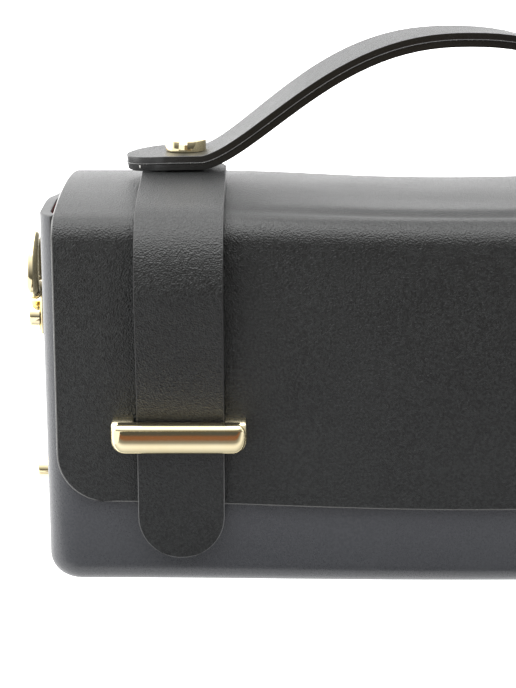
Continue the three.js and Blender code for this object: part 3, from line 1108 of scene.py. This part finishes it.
@dataclass
class Strap(Piece):
    """A leather strap over the top and down the front, with a round tongue."""

    side: Side
    flap: Flap
    centre: float = 81.1
    width: float = 24.4
    thick: float = 2.4
    tip: float = 10.5
    past_screw: float = 17.0
    top: float = 113.4
    bulge: float = 6.1
    edge_round: float = 0.6
    columns: int = 10
    end_steps: int = 9
    steps: int = 64

    def route(self) -> Route:
        """The outer face in the side view, from the tongue's tip to the end behind the screw.

        Returns:
            The route.
        """
        shape = self.flap.shape
        face = -self.flap.off - GAP_MM - self.thick + shape.bow(self.centre - self.width / 2.0, True)
        # Shares of the bulge, with heights up the front and then with ways below the top.
        front = [(0.0, self.tip), (0.0, 44.0), (0.13, 54.0), (0.42, 66.0), (0.74, 78.0), (1.0, 87.0)]
        bend = [(0.93, 20.4), (0.8, 16.2), (0.6, 12.8), (0.33, 10.0)]
        front += [(share, self.top - below) for share, below in bend]
        # Depths with ways below the top, over the ridge and back to the end.
        ridge = [(face - 0.1, 7.9), (face + 1.9, 6.1), (face + 4.4, 4.5), (1.5, 3.4), (5.0, 2.6)]
        flat = [(9.0, 1.95), (14.0, 1.3), (20.0, 0.7), (26.0, 0.25), (31.0, -0.2), (36.0, -0.8)]
        end = [(shape.half_depth, -1.05), (shape.half_depth + self.past_screw, -0.6)]
        stations = [(face - share * self.bulge, height) for share, height in front]
        stations += [(depth, self.top - below) for depth, below in [*ridge, *flat, *end]]
        points = [Vector((0.0, depth - shape.half_depth, height)) for depth, height in stations]
        return Route(curve_through(points, per_span=8))

    def build(self) -> None:
        """Builds the strap."""
        route = self.route()
        half = self.width / 2.0
        ends = end_rows(half, self.end_steps)
        far_ends = [route.length - way for way in reversed(ends)]
        ways = [*ends, *spread(half, route.length - half, self.steps), *far_ends[1:]]

        def place(column: int, row: int) -> Vector:
            """Where the vertex of a column and a row goes."""
            left = min(ways[row], route.length - ways[row])
            share = 2.0 * column / self.columns - 1.0
            out = math.copysign(nose_out(left, half, share), ways[row] - half)
            across = self.side.value * self.centre + share * round_end(left, half)
            return route.at(ways[row] + out) + Vector((across, 0.0, 0.0))

        mould = Mould()
        mould.sheet(self.columns, len(ways) - 1, place)
        name = f"strap_{self.side.word}"
        piece = mould.finish(name, [self.finishes.strap, self.finishes.strap_edge])
        thicken(piece, self.thick, -1.0)
        soften(piece, self.edge_round, 4)
        settle(piece, Slot.LEATHER, name)


@dataclass
class Handle(Piece):
    """The arched handle of two sewn layers, with a fine seam round its edge."""

    flat: float = 118.9
    behind: float = 6.0
    half_length: float = 98.6
    width: float = 24.0
    layer: float = 2.08
    rise: float = 35.6
    arch_half: float = 76.4
    arch_shoulder: float = 2.33
    arch_power: float = 1.5
    twist_deg: float = 8.7
    twist_power: float = 0.7
    droop: float = 1.3
    droop_from: float = 80.0
    seam: float = 0.24
    thread_half: float = 0.45
    thread_radius: float = 0.26
    thread_tip: float = 0.12
    thread_in: float = 4.3
    thread_below: float = 1.35
    edge_round: float = 0.5
    columns: int = 8
    end_steps: int = 9
    arch_steps: int = 60

    def arch_share(self, x: float) -> float:
        """How much of the arch there is at one place, from 0 at its feet to 1 at its top."""
        return max(1.0 - abs(x / self.arch_half) ** self.arch_shoulder, 0.0)

    def top(self, x: float) -> float:
        """The upper face's height."""
        end = max(abs(x) - self.droop_from, 0.0) / (self.half_length - self.droop_from)
        return self.flat + self.rise * self.arch_share(x) ** self.arch_power - self.droop * end**2

    def stations(self) -> list[float]:
        """Places along the handle, close together at its round ends.

        Returns:
            The places in X, from left to right.
        """
        ends = [self.half_length - way for way in end_rows(self.width / 2.0, self.end_steps)]
        turns = spread(-1.0, 1.0, self.arch_steps)
        arch = [self.arch_half * math.sin(0.5 * math.pi * share) for share in turns]
        return sorted({round(x, 4) for x in [*ends, *(-x for x in ends), *arch, -self.arch_half]})

    def build_layer(self, name: str, below: float) -> None:
        """Builds one layer.

        Args:
            name: The layer's name.
            below: How far its upper face lies below the handle's.
        """
        stations = self.stations()

        def place(column: int, row: int) -> Vector:
            """Where the vertex of a column and a row goes."""
            return self.point(stations[column], 2.0 * row / self.columns - 1.0, below)

        mould = Mould()
        mould.sheet(len(stations) - 1, self.columns, place)
        piece = mould.finish(name, [self.finishes.leather, self.finishes.handle_edge])
        thicken(piece, self.layer, -1.0)
        soften(piece, self.edge_round, 3)
        settle(piece, Slot.LEATHER, name)

    def point(self, x: float, share: float, below: float) -> Vector:
        """A point of a face along the handle.

        Args:
            x: Its place along the bag.
            share: Its place across, from -1 at the front edge to 1 at the back edge.
            below: How far the face lies below the handle's upper face.

        Returns:
            The point.
        """
        step = 0.05
        slope = (self.top(x + step) - self.top(x - step)) / (2.0 * step)
        outward = Vector((-slope, 0.0, 1.0)).normalized()
        twist = math.radians(self.twist_deg) * self.arch_share(x) ** self.twist_power
        left = self.half_length - abs(x)
        half = self.width / 2.0
        across = Vector((-math.sin(twist), math.cos(twist), 0.0)) * (share * round_end(left, half))
        nose = Vector((math.copysign(nose_out(left, half, share), x), 0.0, 0.0))
        return Vector((x, self.behind, self.top(x))) - outward * below + across + nose

    def build_seam(self) -> None:
        """Builds the fine seam between the layers, all round the edge."""
        stations = self.stations()
        across = spread(-1.0, 1.0, self.columns)[:-1]
        front = [self.point(x, -1.0, self.layer) for x in stations]
        right = [self.point(stations[-1], share, self.layer) for share in across]
        back = [self.point(x, 1.0, self.layer) for x in reversed(stations)]
        left = [self.point(stations[0], share, self.layer) for share in reversed(across)]
        route = [*front, *right, *back, *left]
        mould = Mould()
        mould.tube(route, self.seam, [1.0] * len(route))
        piece = mould.finish("handle_seam", [self.finishes.seam])
        settle(piece, Slot.LEATHER)

    def build_thread_end(self) -> None:
        """Builds the short end of sewing thread that stands out of the left end's edge."""
        tip = self.thread_tip
        half = self.thread_half
        thick = self.thread_radius
        mould = Mould()
        mould.turn(
            [(0.0, -half), (thick - tip, -half), (thick, tip - half), (thick, half - tip), (0.0, half)],
            steps=12,
        )
        place = self.point(self.thread_in - self.half_length, -1.0, self.thread_below * self.layer)
        mould.move(Matrix.Translation(place))
        piece = mould.finish("handle_thread_end", [self.finishes.thread])
        settle(piece, Slot.LEATHER)

    def build(self) -> None:
        """Builds both layers, the seam and the end of its thread."""
        self.build_layer("handle_upper", 0.0)
        self.build_layer("handle_lower", self.layer)
        self.build_seam()
        self.build_thread_end()


@dataclass
class HandleScrew(Piece):
    """The slotted screw through handle, strap and flap."""

    side: Side
    centre: float = 80.9
    behind: float = Handle.behind
    head: float = 6.0
    foot: float = 118.7
    head_height: float = 3.5
    rim: float = 0.35
    crown: float = 0.1
    shank: float = 2.5
    collar: float = 4.5
    collar_low: float = 113.45
    collar_top: float = 114.7
    flange: float = 6.0
    flange_low: float = 106.7
    flange_top: float = 107.9
    slot_wide: float = 2.4
    slot_deep: float = 1.0
    slot_turn_deg: float = 84.0

    def build(self) -> None:
        """Builds the screw."""
        top = self.foot + self.head_height
        profile = [
            (0.0, self.flange_low),
            (self.flange, self.flange_low),
            (self.flange, self.flange_top),
            (self.shank, self.flange_top),
            (self.shank, self.collar_low),
            (self.collar, self.collar_low),
            (self.collar, self.collar_top),
            (self.shank, self.collar_top),
            (self.shank, self.foot),
            (self.head - self.rim, self.foot),
            (self.head, self.foot + self.rim),
            *rim_points(self.head, top, self.rim),
            (0.0, top + self.crown),
        ]
        name = f"handle_screw_{self.side.word}"
        place = Matrix.Translation((self.side.value * self.centre, self.behind, 0.0))
        mould = Mould()
        mould.turn(profile, steps=56)
        mould.move(place)
        piece = mould.finish(name, [self.finishes.gold])
        spare = 1.0
        reach = self.head + spare
        half = self.slot_wide / 2.0
        tool = Mould()
        tool.block(Vector((-reach, -half, top - self.slot_deep)), Vector((reach, half, top + spare)))
        tool.move(place @ Matrix.Rotation(math.radians(self.slot_turn_deg), 4, "Z"))
        carve(piece, tool.finish("slot_tool", []))
        soften(piece, 0.12, 2, angle_deg=35.0)
        settle(piece, Slot.GOLD, name)


@dataclass
class Keeper(Piece):
    """The cast gold staple that a strap passes through."""

    side: Side
    centre: float = 81.5
    width: float = 38.2
    low: float = 42.6
    high: float = 51.2
    leg: float = 6.3
    front: float = 11.4
    bar: float = 4.2
    seat: float = 0.9
    low_corner: float = 4.2
    high_corner: float = 2.6
    end_round: float = 3.4
    low_deep: float = 2.0
    low_tall: float = 3.7
    leg_inset: float = 0.45
    leg_start: float = 1.6
    leg_low: float = 0.1
    leg_high: float = 0.05
    leg_round: float = 0.35
    high_round: float = 1.7
    back_round: float = 0.5
    most_round: float = 0.48
    tip: float = 0.03
    weld: float = 1e-5
    half_depth: float = TubShape.half_depth
    end_steps: int = 12
    bar_steps: int = 6
    turn_steps: int = 9

    def build(self) -> None:
        """Builds the bar and its two legs."""
        name = f"keeper_{self.side.word}"
        reach = self.width / 2.0
        front = -self.half_depth - self.front
        back = -self.half_depth + self.seat
        start = front + self.leg_start
        mould = Mould()
        self._bar(mould, reach, front)
        polished = set(mould.bm.faces)
        for end in (-1.0, 1.0):
            self._leg(mould, end * (reach - self.leg_inset), end * (reach - self.leg), start, back)
        for face in mould.bm.faces:
            face.material_index = 0 if face in polished else 1
        mould.move(Matrix.Translation((self.side.value * self.centre, 0.0, 0.0)))
        piece = mould.finish(name, [self.finishes.gold, self.finishes.satin])
        settle(piece, Slot.GOLD, name)

    def _leg(self, mould: Mould, outer: float, inner: float, front: float, back: float) -> None:
        """One leg, rounded on the outside like the bar.

        Args:
            mould: The mesh that it is added to.
            outer: Its outer side in X.
            inner: Its inner side in X.
            front: Where it starts in Y.
            back: Where it ends in Y.
        """
        low = Vector((min(outer, inner), front, self.low + self.leg_low))
        high = Vector((max(outer, inner), back, self.high - self.leg_high))
        verts = mould.block(low, high)
        along = {e for v in verts for e in v.link_edges if runs_along(e, 1)}
        middle = (self.low + self.high) / 2.0
        outside = [e for e in along if abs(e.verts[0].co.x - outer) < NEAR_MM]
        lower = [e for e in outside if e.verts[0].co.z < middle]
        rest = [e for e in along if e not in lower]
        mould.round_edges(lower, self.low_corner - self.leg_inset, 8)
        mould.round_edges(rest, self.leg_round, 3)

    def _bar(self, mould: Mould, reach: float, front: float) -> None:
        """The pillowed bar in front of the strap: rounded sections that shrink towards its ends.

        Args:
            mould: The mesh that it is added to.
            reach: Half its width.
            front: Where its face lies in Y.
        """
        ends = [max(away, self.tip) for away in round_rises(self.low_corner, self.end_steps)]
        length = 2.0 * reach
        far_ends = [length - away for away in reversed(ends)]
        ways = [*ends, *spread(ends[-1], far_ends[0], self.bar_steps), *far_ends[1:]]
        sections = [self._section(min(way, length - way), front) for way in ways]
        around = len(sections[0])

        def place(column: int, row: int) -> Vector:
            """Where the vertex of a column and a row goes."""
            y, z = sections[row][column % around]
            return Vector((ways[row] - reach, y, z))

        mould.sheet(around, len(ways) - 1, place)
        bmesh.ops.remove_doubles(mould.bm, verts=mould.bm.verts[:], dist=self.weld)
        open_edges = [e for e in mould.bm.edges if len(e.link_faces) == 1]
        bmesh.ops.holes_fill(mould.bm, edges=open_edges, sides=0)
        bmesh.ops.recalc_face_normals(mould.bm, faces=mould.bm.faces[:])

    def _section(self, away: float, front: float) -> list[tuple[float, float]]:
        """The bar's outline across.

        Args:
            away: The way to the nearer end.
            front: Where the bar's face lies in Y.

        Returns:
            Places in Y and Z, all round.
        """
        low = self.low + round_in(self.low_corner, away)
        high = self.high - round_in(self.high_corner, away)
        face = front + round_in(self.end_round, away)
        back = front + self.bar
        most_deep = self.most_round * (back - face)
        most_tall = self.most_round * (high - low)
        turns = [
            (self.low_deep, self.low_tall, face, low, 1.5),
            (self.high_round, self.high_round, face, high, 1.0),
            (self.back_round, self.back_round, back, high, 0.5),
            (self.back_round, self.back_round, back, low, 0.0),
        ]
        outline = []
        for deep, tall, y, z, half_turns in turns:
            deep = min(deep, most_deep)
            tall = min(tall, most_tall)
            centre_y = y + deep if y == face else y - deep
            centre_z = z + tall if z == low else z - tall
            start = half_turns * math.pi
            for angle in [start, *spread(start, start - 0.5 * math.pi, self.turn_steps)]:
                outline.append((centre_y + deep * math.cos(angle), centre_z + tall * math.sin(angle)))
        return outline


@dataclass
class SideFitting(Piece):
    """The leather tab on one end, with its cast ring and its two studs."""

    side: Side
    wall_face: float = 121.0
    width: float = 14.0
    thick: float = 2.0
    low_end: float = 11.0
    high_end: float = 76.0
    tab_corner: float = 4.0
    tab_round: float = 0.35
    tab_columns: int = 6
    tab_steps: int = 24
    corner_steps: int = 6
    lift_power: int = 8
    wire: float = 1.75
    foot_wire: float = 1.22
    top_wire: float = 0.95
    ring_out: float = 3.1
    bar_height: float = 78.2
    ring_tall: float = 15.8
    ring_half: float = 7.6
    ring_corner: float = 3.0
    knuckle: float = 2.6
    knuckle_half: float = 5.0
    knuckle_round: float = 0.6
    plate: float = 1.0
    plate_round: float = 0.35
    plate_half: float = 4.5
    plate_low: float = 65.0
    stud_head: float = 4.8
    stud_height: float = 3.3
    stud_shank: float = 2.0
    stud_foot: float = 0.3
    stud_rim: float = 0.8
    stud_crown: float = 0.15
    stud_upper: float = 69.7
    stud_lower: float = 21.5
    stud_root: float = 118.7

    @property
    def tab_face(self) -> float:
        """How far out the tab's face lies."""
        return self.wall_face + self.thick

    def build(self) -> None:
        """Builds the tab, the ring and both studs."""
        self._tab()
        self._ring()
        plate_face = self.tab_face + GAP_MM + self.plate
        self._stud(f"tab_screw_upper_{self.side.word}", self.stud_upper, plate_face)
        self._stud(f"tab_screw_lower_{self.side.word}", self.stud_lower, self.tab_face)

    def _tab(self) -> None:
        """The flat strip of leather with round corners."""
        length = self.high_end - self.low_end
        half = self.width / 2.0
        corner = self.tab_corner
        ends, lifts = zip(*corner_rows(corner, self.corner_steps))
        far_ends = [length - way for way in reversed(ends)]
        ways = [*ends, *spread(corner, length - corner, self.tab_steps), *far_ends[1:]]
        middle = self.side.value * (self.wall_face + self.thick / 2.0)

        def place(column: int, row: int) -> Vector:
            """Where the vertex of a column and a row goes."""
            way = ways[row]
            reach = half - corner + round_end(min(way, length - way), corner)
            share = 2.0 * column / self.tab_columns - 1.0
            lift = lifts[min(row, len(ways) - 1 - row, len(lifts) - 1)] * (1.0 - share**self.lift_power)
            height = self.low_end + way + math.copysign(lift, length / 2.0 - way)
            return Vector((middle, share * reach, height))

        mould = Mould()
        mould.sheet(self.tab_columns, len(ways) - 1, place)
        name = f"side_tab_{self.side.word}"
        piece = mould.finish(name, [self.finishes.leather, self.finishes.edge])
        thicken(piece, self.thick, 0.0)
        soften(piece, self.tab_round, 3)
        settle(piece, Slot.LEATHER, name)

    def _ring(self) -> None:
        """The casting: a D that is thicker at its foot, its knuckle, and the plate under the stud."""
        out = self.side.value * (self.tab_face + self.ring_out)
        foot = Matrix.Translation((out, 0.0, self.bar_height))
        rim = rim_points(self.knuckle, self.knuckle_half, self.knuckle_round)
        upper = [*rim, (0.0, self.knuckle_half)]
        lower = [(radius, -height) for radius, height in reversed(upper)]
        mould = Mould()
        mould.turn([*lower, *upper], steps=32)
        mould.move(foot @ Matrix.Rotation(math.pi / 2.0, 4, "X"))
        near = self.side.value * (self.tab_face + GAP_MM)
        far = near + self.side.value * self.plate
        plate = mould.block(
            Vector((min(near, far), -self.plate_half, self.plate_low)),
            Vector((max(near, far), self.plate_half, self.bar_height)),
        )
        mould.round_edges({edge for vert in plate for edge in vert.link_edges}, self.plate_round, 3)
        outline = self._outline()
        widths = [mix(self.foot_wire, self.top_wire, z / self.ring_tall) for _, z in outline]
        mould.tube([foot @ Vector((0.0, y, z)) for y, z in outline], self.wire, widths)
        name = f"side_ring_{self.side.word}"
        piece = mould.finish(name, [self.finishes.gold])
        settle(piece, Slot.GOLD, name)

    def _outline(self) -> list[tuple[float, float]]:
        """The D's middle line.

        Returns:
            Places in Y and heights above its bar, all round.
        """
        half = self.ring_half
        corner = self.ring_corner
        tall = self.ring_tall - corner
        turns = spread(0.0, math.pi / 2.0, 8)
        bend = [(half - corner + corner * math.sin(a), corner - corner * math.cos(a)) for a in turns]
        arch = [(half * math.cos(a), corner + tall * math.sin(a)) for a in spread(0.0, math.pi, 36)[:-1]]
        right = [(half - corner, 0.0), *bend]
        return [*right, *arch, *[(-y, z) for y, z in reversed(right)]]

    def _stud(self, name: str, height: float, seat: float) -> None:
        """A turned stud with a low domed head.

        Args:
            name: The stud's name.
            height: Its height on the end wall.
            seat: How far out its head starts.
        """
        top = seat + GAP_MM + self.stud_height
        rim = self.stud_rim
        # Shares of the rim by which each point lies inside the head's side and below its top.
        dome = ((0.0, 1.0), (0.25, 0.4), (0.6, 0.12), (1.2, 0.0))
        profile = [
            (0.0, self.stud_root),
            (self.stud_shank, self.stud_root),
            (self.stud_shank, seat),
            (self.stud_head - self.stud_foot, seat),
            (self.stud_head, seat + self.stud_foot),
            *((self.stud_head - inside * rim, top - below * rim) for inside, below in dome),
            (0.0, top + self.stud_crown),
        ]
        mould = Mould()
        mould.turn(profile, steps=40)
        turn = Matrix.Rotation(self.side.value * math.pi / 2.0, 4, "Y")
        mould.move(Matrix.Translation((0.0, 0.0, height)) @ turn)
        piece = mould.finish(name, [self.finishes.gold])
        soften(piece, 0.1, 2, angle_deg=35.0)
        settle(piece, Slot.GOLD, name)


@dataclass(frozen=True)
class Tent:
    """A white tent that is open and darker on the camera's side.

    Lights are strengths, and each span is where a light grows or falls, in the direction's X, Y or Z.
    """

    white: tuple[float, float, float, float] = (1.0, 1.0, 1.0, 1.0)
    behind_span: Span = (-0.5, 0.1)
    open_light: float = 0.1
    open_high_light: float = 2.1
    open_high_span: Span = (0.0, 0.9)
    open_top_light: float = 1.6
    open_top_span: Span = (0.55, 1.0)
    cloth_light: float = 1.88
    cloth_top_light: float = 1.9
    cloth_top_span: Span = (0.5, 1.05)
    low_light: float = 0.9
    low_span: Span = (0.06, 0.26)
    left_gain: float = 1.5
    left_fall: float = 0.5
    left_span: Span = (-0.9, -0.3)
    right_fall: float = 0.19
    right_span: Span = (-0.1, 0.08)

    def build(self) -> None:
        """Makes the tent the scene's world."""
        world = bpy.data.worlds.new("tent")
        bpy.context.scene.world = world
        world.use_nodes = True
        graph = Graph(world.node_tree)
        axes = graph.axes("Generated")
        behind = axes["Y"].stepped(*self.behind_span)
        height = axes["Z"]
        high_light = self.open_light + height.stepped(*self.open_high_span) * self.open_high_light
        open_light = high_light + height.stepped(*self.open_top_span) * self.open_top_light
        cloth_light = self.cloth_light + height.stepped(*self.cloth_top_span) * self.cloth_top_light
        low_light = behind * (1.0 - height.stepped(*self.low_span)) * self.low_light
        left_gain = self.left_gain - axes["X"].stepped(*self.left_span) * self.left_fall
        gain = left_gain - axes["X"].stepped(*self.right_span) * self.right_fall
        strength = (open_light + behind * (cloth_light - open_light)) * gain + low_light
        light = graph.node("ShaderNodeBackground", {"Color": self.white, "Strength": strength})
        graph.node("ShaderNodeOutputWorld", {"Surface": light.outputs["Background"]})


@dataclass
class Studio:
    """Floor, light and camera."""

    lens_px: float = 1900.0
    picture_px: float = 688.0
    sensor_mm: float = 36.0
    pitch_deg: float = 14.5
    eye_mm: tuple[float, float, float] = (-59.5, -555.1, 204.4)
    lamp_mm: tuple[float, float, float] = (0.0, -420.0, 1000.0)
    lamp_size_mm: Span = (2000.0, 1300.0)
    lamp_watts: float = 11.0
    table_half_mm: float = 3000.0
    table_patch_mm: float = 180.0
    table_grey: Rgb = (0.15, 0.15, 0.15)
    table_pale: Rgb = (0.17, 0.17, 0.17)
    front_glow: Rgb = (0.98, 0.98, 0.98)
    side_glow: Rgb = (2.1, 2.1, 2.1)
    glow_span_m: Span = (-0.09, 0.02)
    flag_brown: Rgb = (0.1, 0.045, 0.025)
    flag_dark: Rgb = (0.03, 0.032, 0.033)
    flag_far: Rgb = (0.1, 0.08, 0.052)
    flag_from_mm: float = -192.0
    flag_to_mm: float = -232.0
    flag_ends_mm: float = -400.0
    shade_near: Rgb = (0.31, 0.315, 0.32)
    shade_far: Rgb = (0.45, 0.453, 0.475)
    shade_last: Rgb = (0.08, 0.078, 0.076)
    shade_from_mm: float = -46.0
    shade_to_mm: float = -102.0
    card_left_mm: float = -175.0
    card_right_mm: float = 1500.0
    card_height_mm: float = 1.0

    def build(self) -> None:
        """Sets up everything that isn't the bag."""
        self._floor()
        self._card("far card", self.flag_ends_mm, -self.table_half_mm, self.flag_far, self.flag_far)
        self._card("dark card", self.flag_to_mm, self.flag_ends_mm, self.flag_dark, self.flag_dark)
        self._card("brown card", self.flag_from_mm, self.flag_to_mm, self.flag_brown, self.flag_brown)
        self._card("grey card", self.shade_to_mm, self.flag_from_mm, self.shade_far, self.shade_last)
        self._card("foot card", self.shade_from_mm, self.shade_to_mm, self.shade_near, self.shade_far)
        Tent().build()
        self._lamp()
        self._camera()
        bpy.context.scene.view_settings.view_transform = "Standard"

    def _floor(self) -> None:
        """The plain white table, which glows: painted light, stronger beside and behind the bag than in
        front.
        """
        mould = Mould()
        bmesh.ops.create_grid(mould.bm, x_segments=8, y_segments=8, size=self.table_half_mm)
        material, graph = new_material("white table")
        tone = graph.noise(self.table_patch_mm, 2.0)
        beside = graph.axes()["Y"].stepped(*self.glow_span_m)
        graph.surface(
            {
                "Base Color": graph.blend(tone, self.table_grey, self.table_pale),
                "Roughness": 0.7,
                # Painted light: the table glows, more beside and behind the bag than in front.
                "Emission Color": graph.blend(beside, self.front_glow, self.side_glow),
                "Emission Strength": 1.0,
            }
        )
        floor = mould.finish("table", [material], smooth=False)

    def _card(self, name: str, near_mm: float, far_mm: float, near: Colour, far: Colour) -> None:
        """A card flat on the table in front of the bag, which only the reflections see.

        Args:
            name: Its name.
            near_mm: Where it starts in Y, next to the bag.
            far_mm: Where it ends in Y.
            near: Linear colour of its near end.
            far: Linear colour of its far end.
        """
        mould = Mould()
        bmesh.ops.create_grid(mould.bm, x_segments=2, y_segments=2, size=1.0)
        half_x = (self.card_right_mm - self.card_left_mm) / 2.0
        middle = (self.card_left_mm + half_x, (near_mm + far_mm) / 2.0, self.card_height_mm)
        mould.move(Matrix.Diagonal((half_x, (near_mm - far_mm) / 2.0, 1.0, 1.0)))
        mould.move(Matrix.Translation(middle))
        material, graph = new_material(name)
        nearness = graph.axes()["Y"].stepped(far_mm * MM, near_mm * MM)
        colour = graph.blend(nearness, far, near)
        graph.surface({"Base Color": colour, "Roughness": 0.8, "Specular IOR Level": 0.0})
        card = mould.finish(name, [material], smooth=False)
        card.visible_camera = False
        card.visible_shadow = False

    def _lamp(self) -> None:
        """The soft box above, which points straight down."""
        light = bpy.data.lights.new("top box", "AREA")
        light.shape = "RECTANGLE"
        light.size = self.lamp_size_mm[0] * MM
        light.size_y = self.lamp_size_mm[1] * MM
        light.energy = self.lamp_watts
        lamp = bpy.data.objects.new("top box", light)
        lamp.location = TO_FRAME @ Vector(self.lamp_mm)
        lamp.rotation_euler = Vector((0.0, 0.0, -1.0)).to_track_quat("-Z", "Y").to_euler()
        lamp.visible_camera = False
        bpy.context.scene.collection.objects.link(lamp)

    def _camera(self) -> None:
        """The photograph's camera."""
        lens = bpy.data.cameras.new("camera")
        lens.sensor_width = self.sensor_mm
        lens.lens = self.lens_px / self.picture_px * self.sensor_mm
        lens.clip_start = 0.01
        lens.clip_end = 50.0
        camera = bpy.data.objects.new("camera", lens)
        camera.location = TO_FRAME @ Vector(self.eye_mm)
        camera.rotation_euler = (math.radians(90.0 - self.pitch_deg), 0.0, 0.0)
        bpy.context.scene.collection.objects.link(camera)
        bpy.context.scene.camera = camera


def main() -> None:
    """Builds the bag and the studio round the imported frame."""
    logging.basicConfig(level=logging.INFO, format="%(message)s")
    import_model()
    finishes = Finishes.make()
    shape = TubShape()
    OpenBox("body_tub", Slot.LEATHER, 0.0, shape.wall, 0.0).build(finishes.tub, finishes.rim)
    OpenBox("lining", Slot.LINING, shape.wall + 0.05, 1.0, 1.0).build(finishes.lining, finishes.lining)
    flap = Flap(finishes)
    flap.build()
    for side in Side:
        Strap(finishes, side, flap).build()
        Keeper(finishes, side).build()
        HandleScrew(finishes, side).build()
        SideFitting(finishes, side).build()
    Handle(finishes).build()
    Studio().build()
    bpy.context.view_layer.update()


if __name__ == "__main__":
    main()
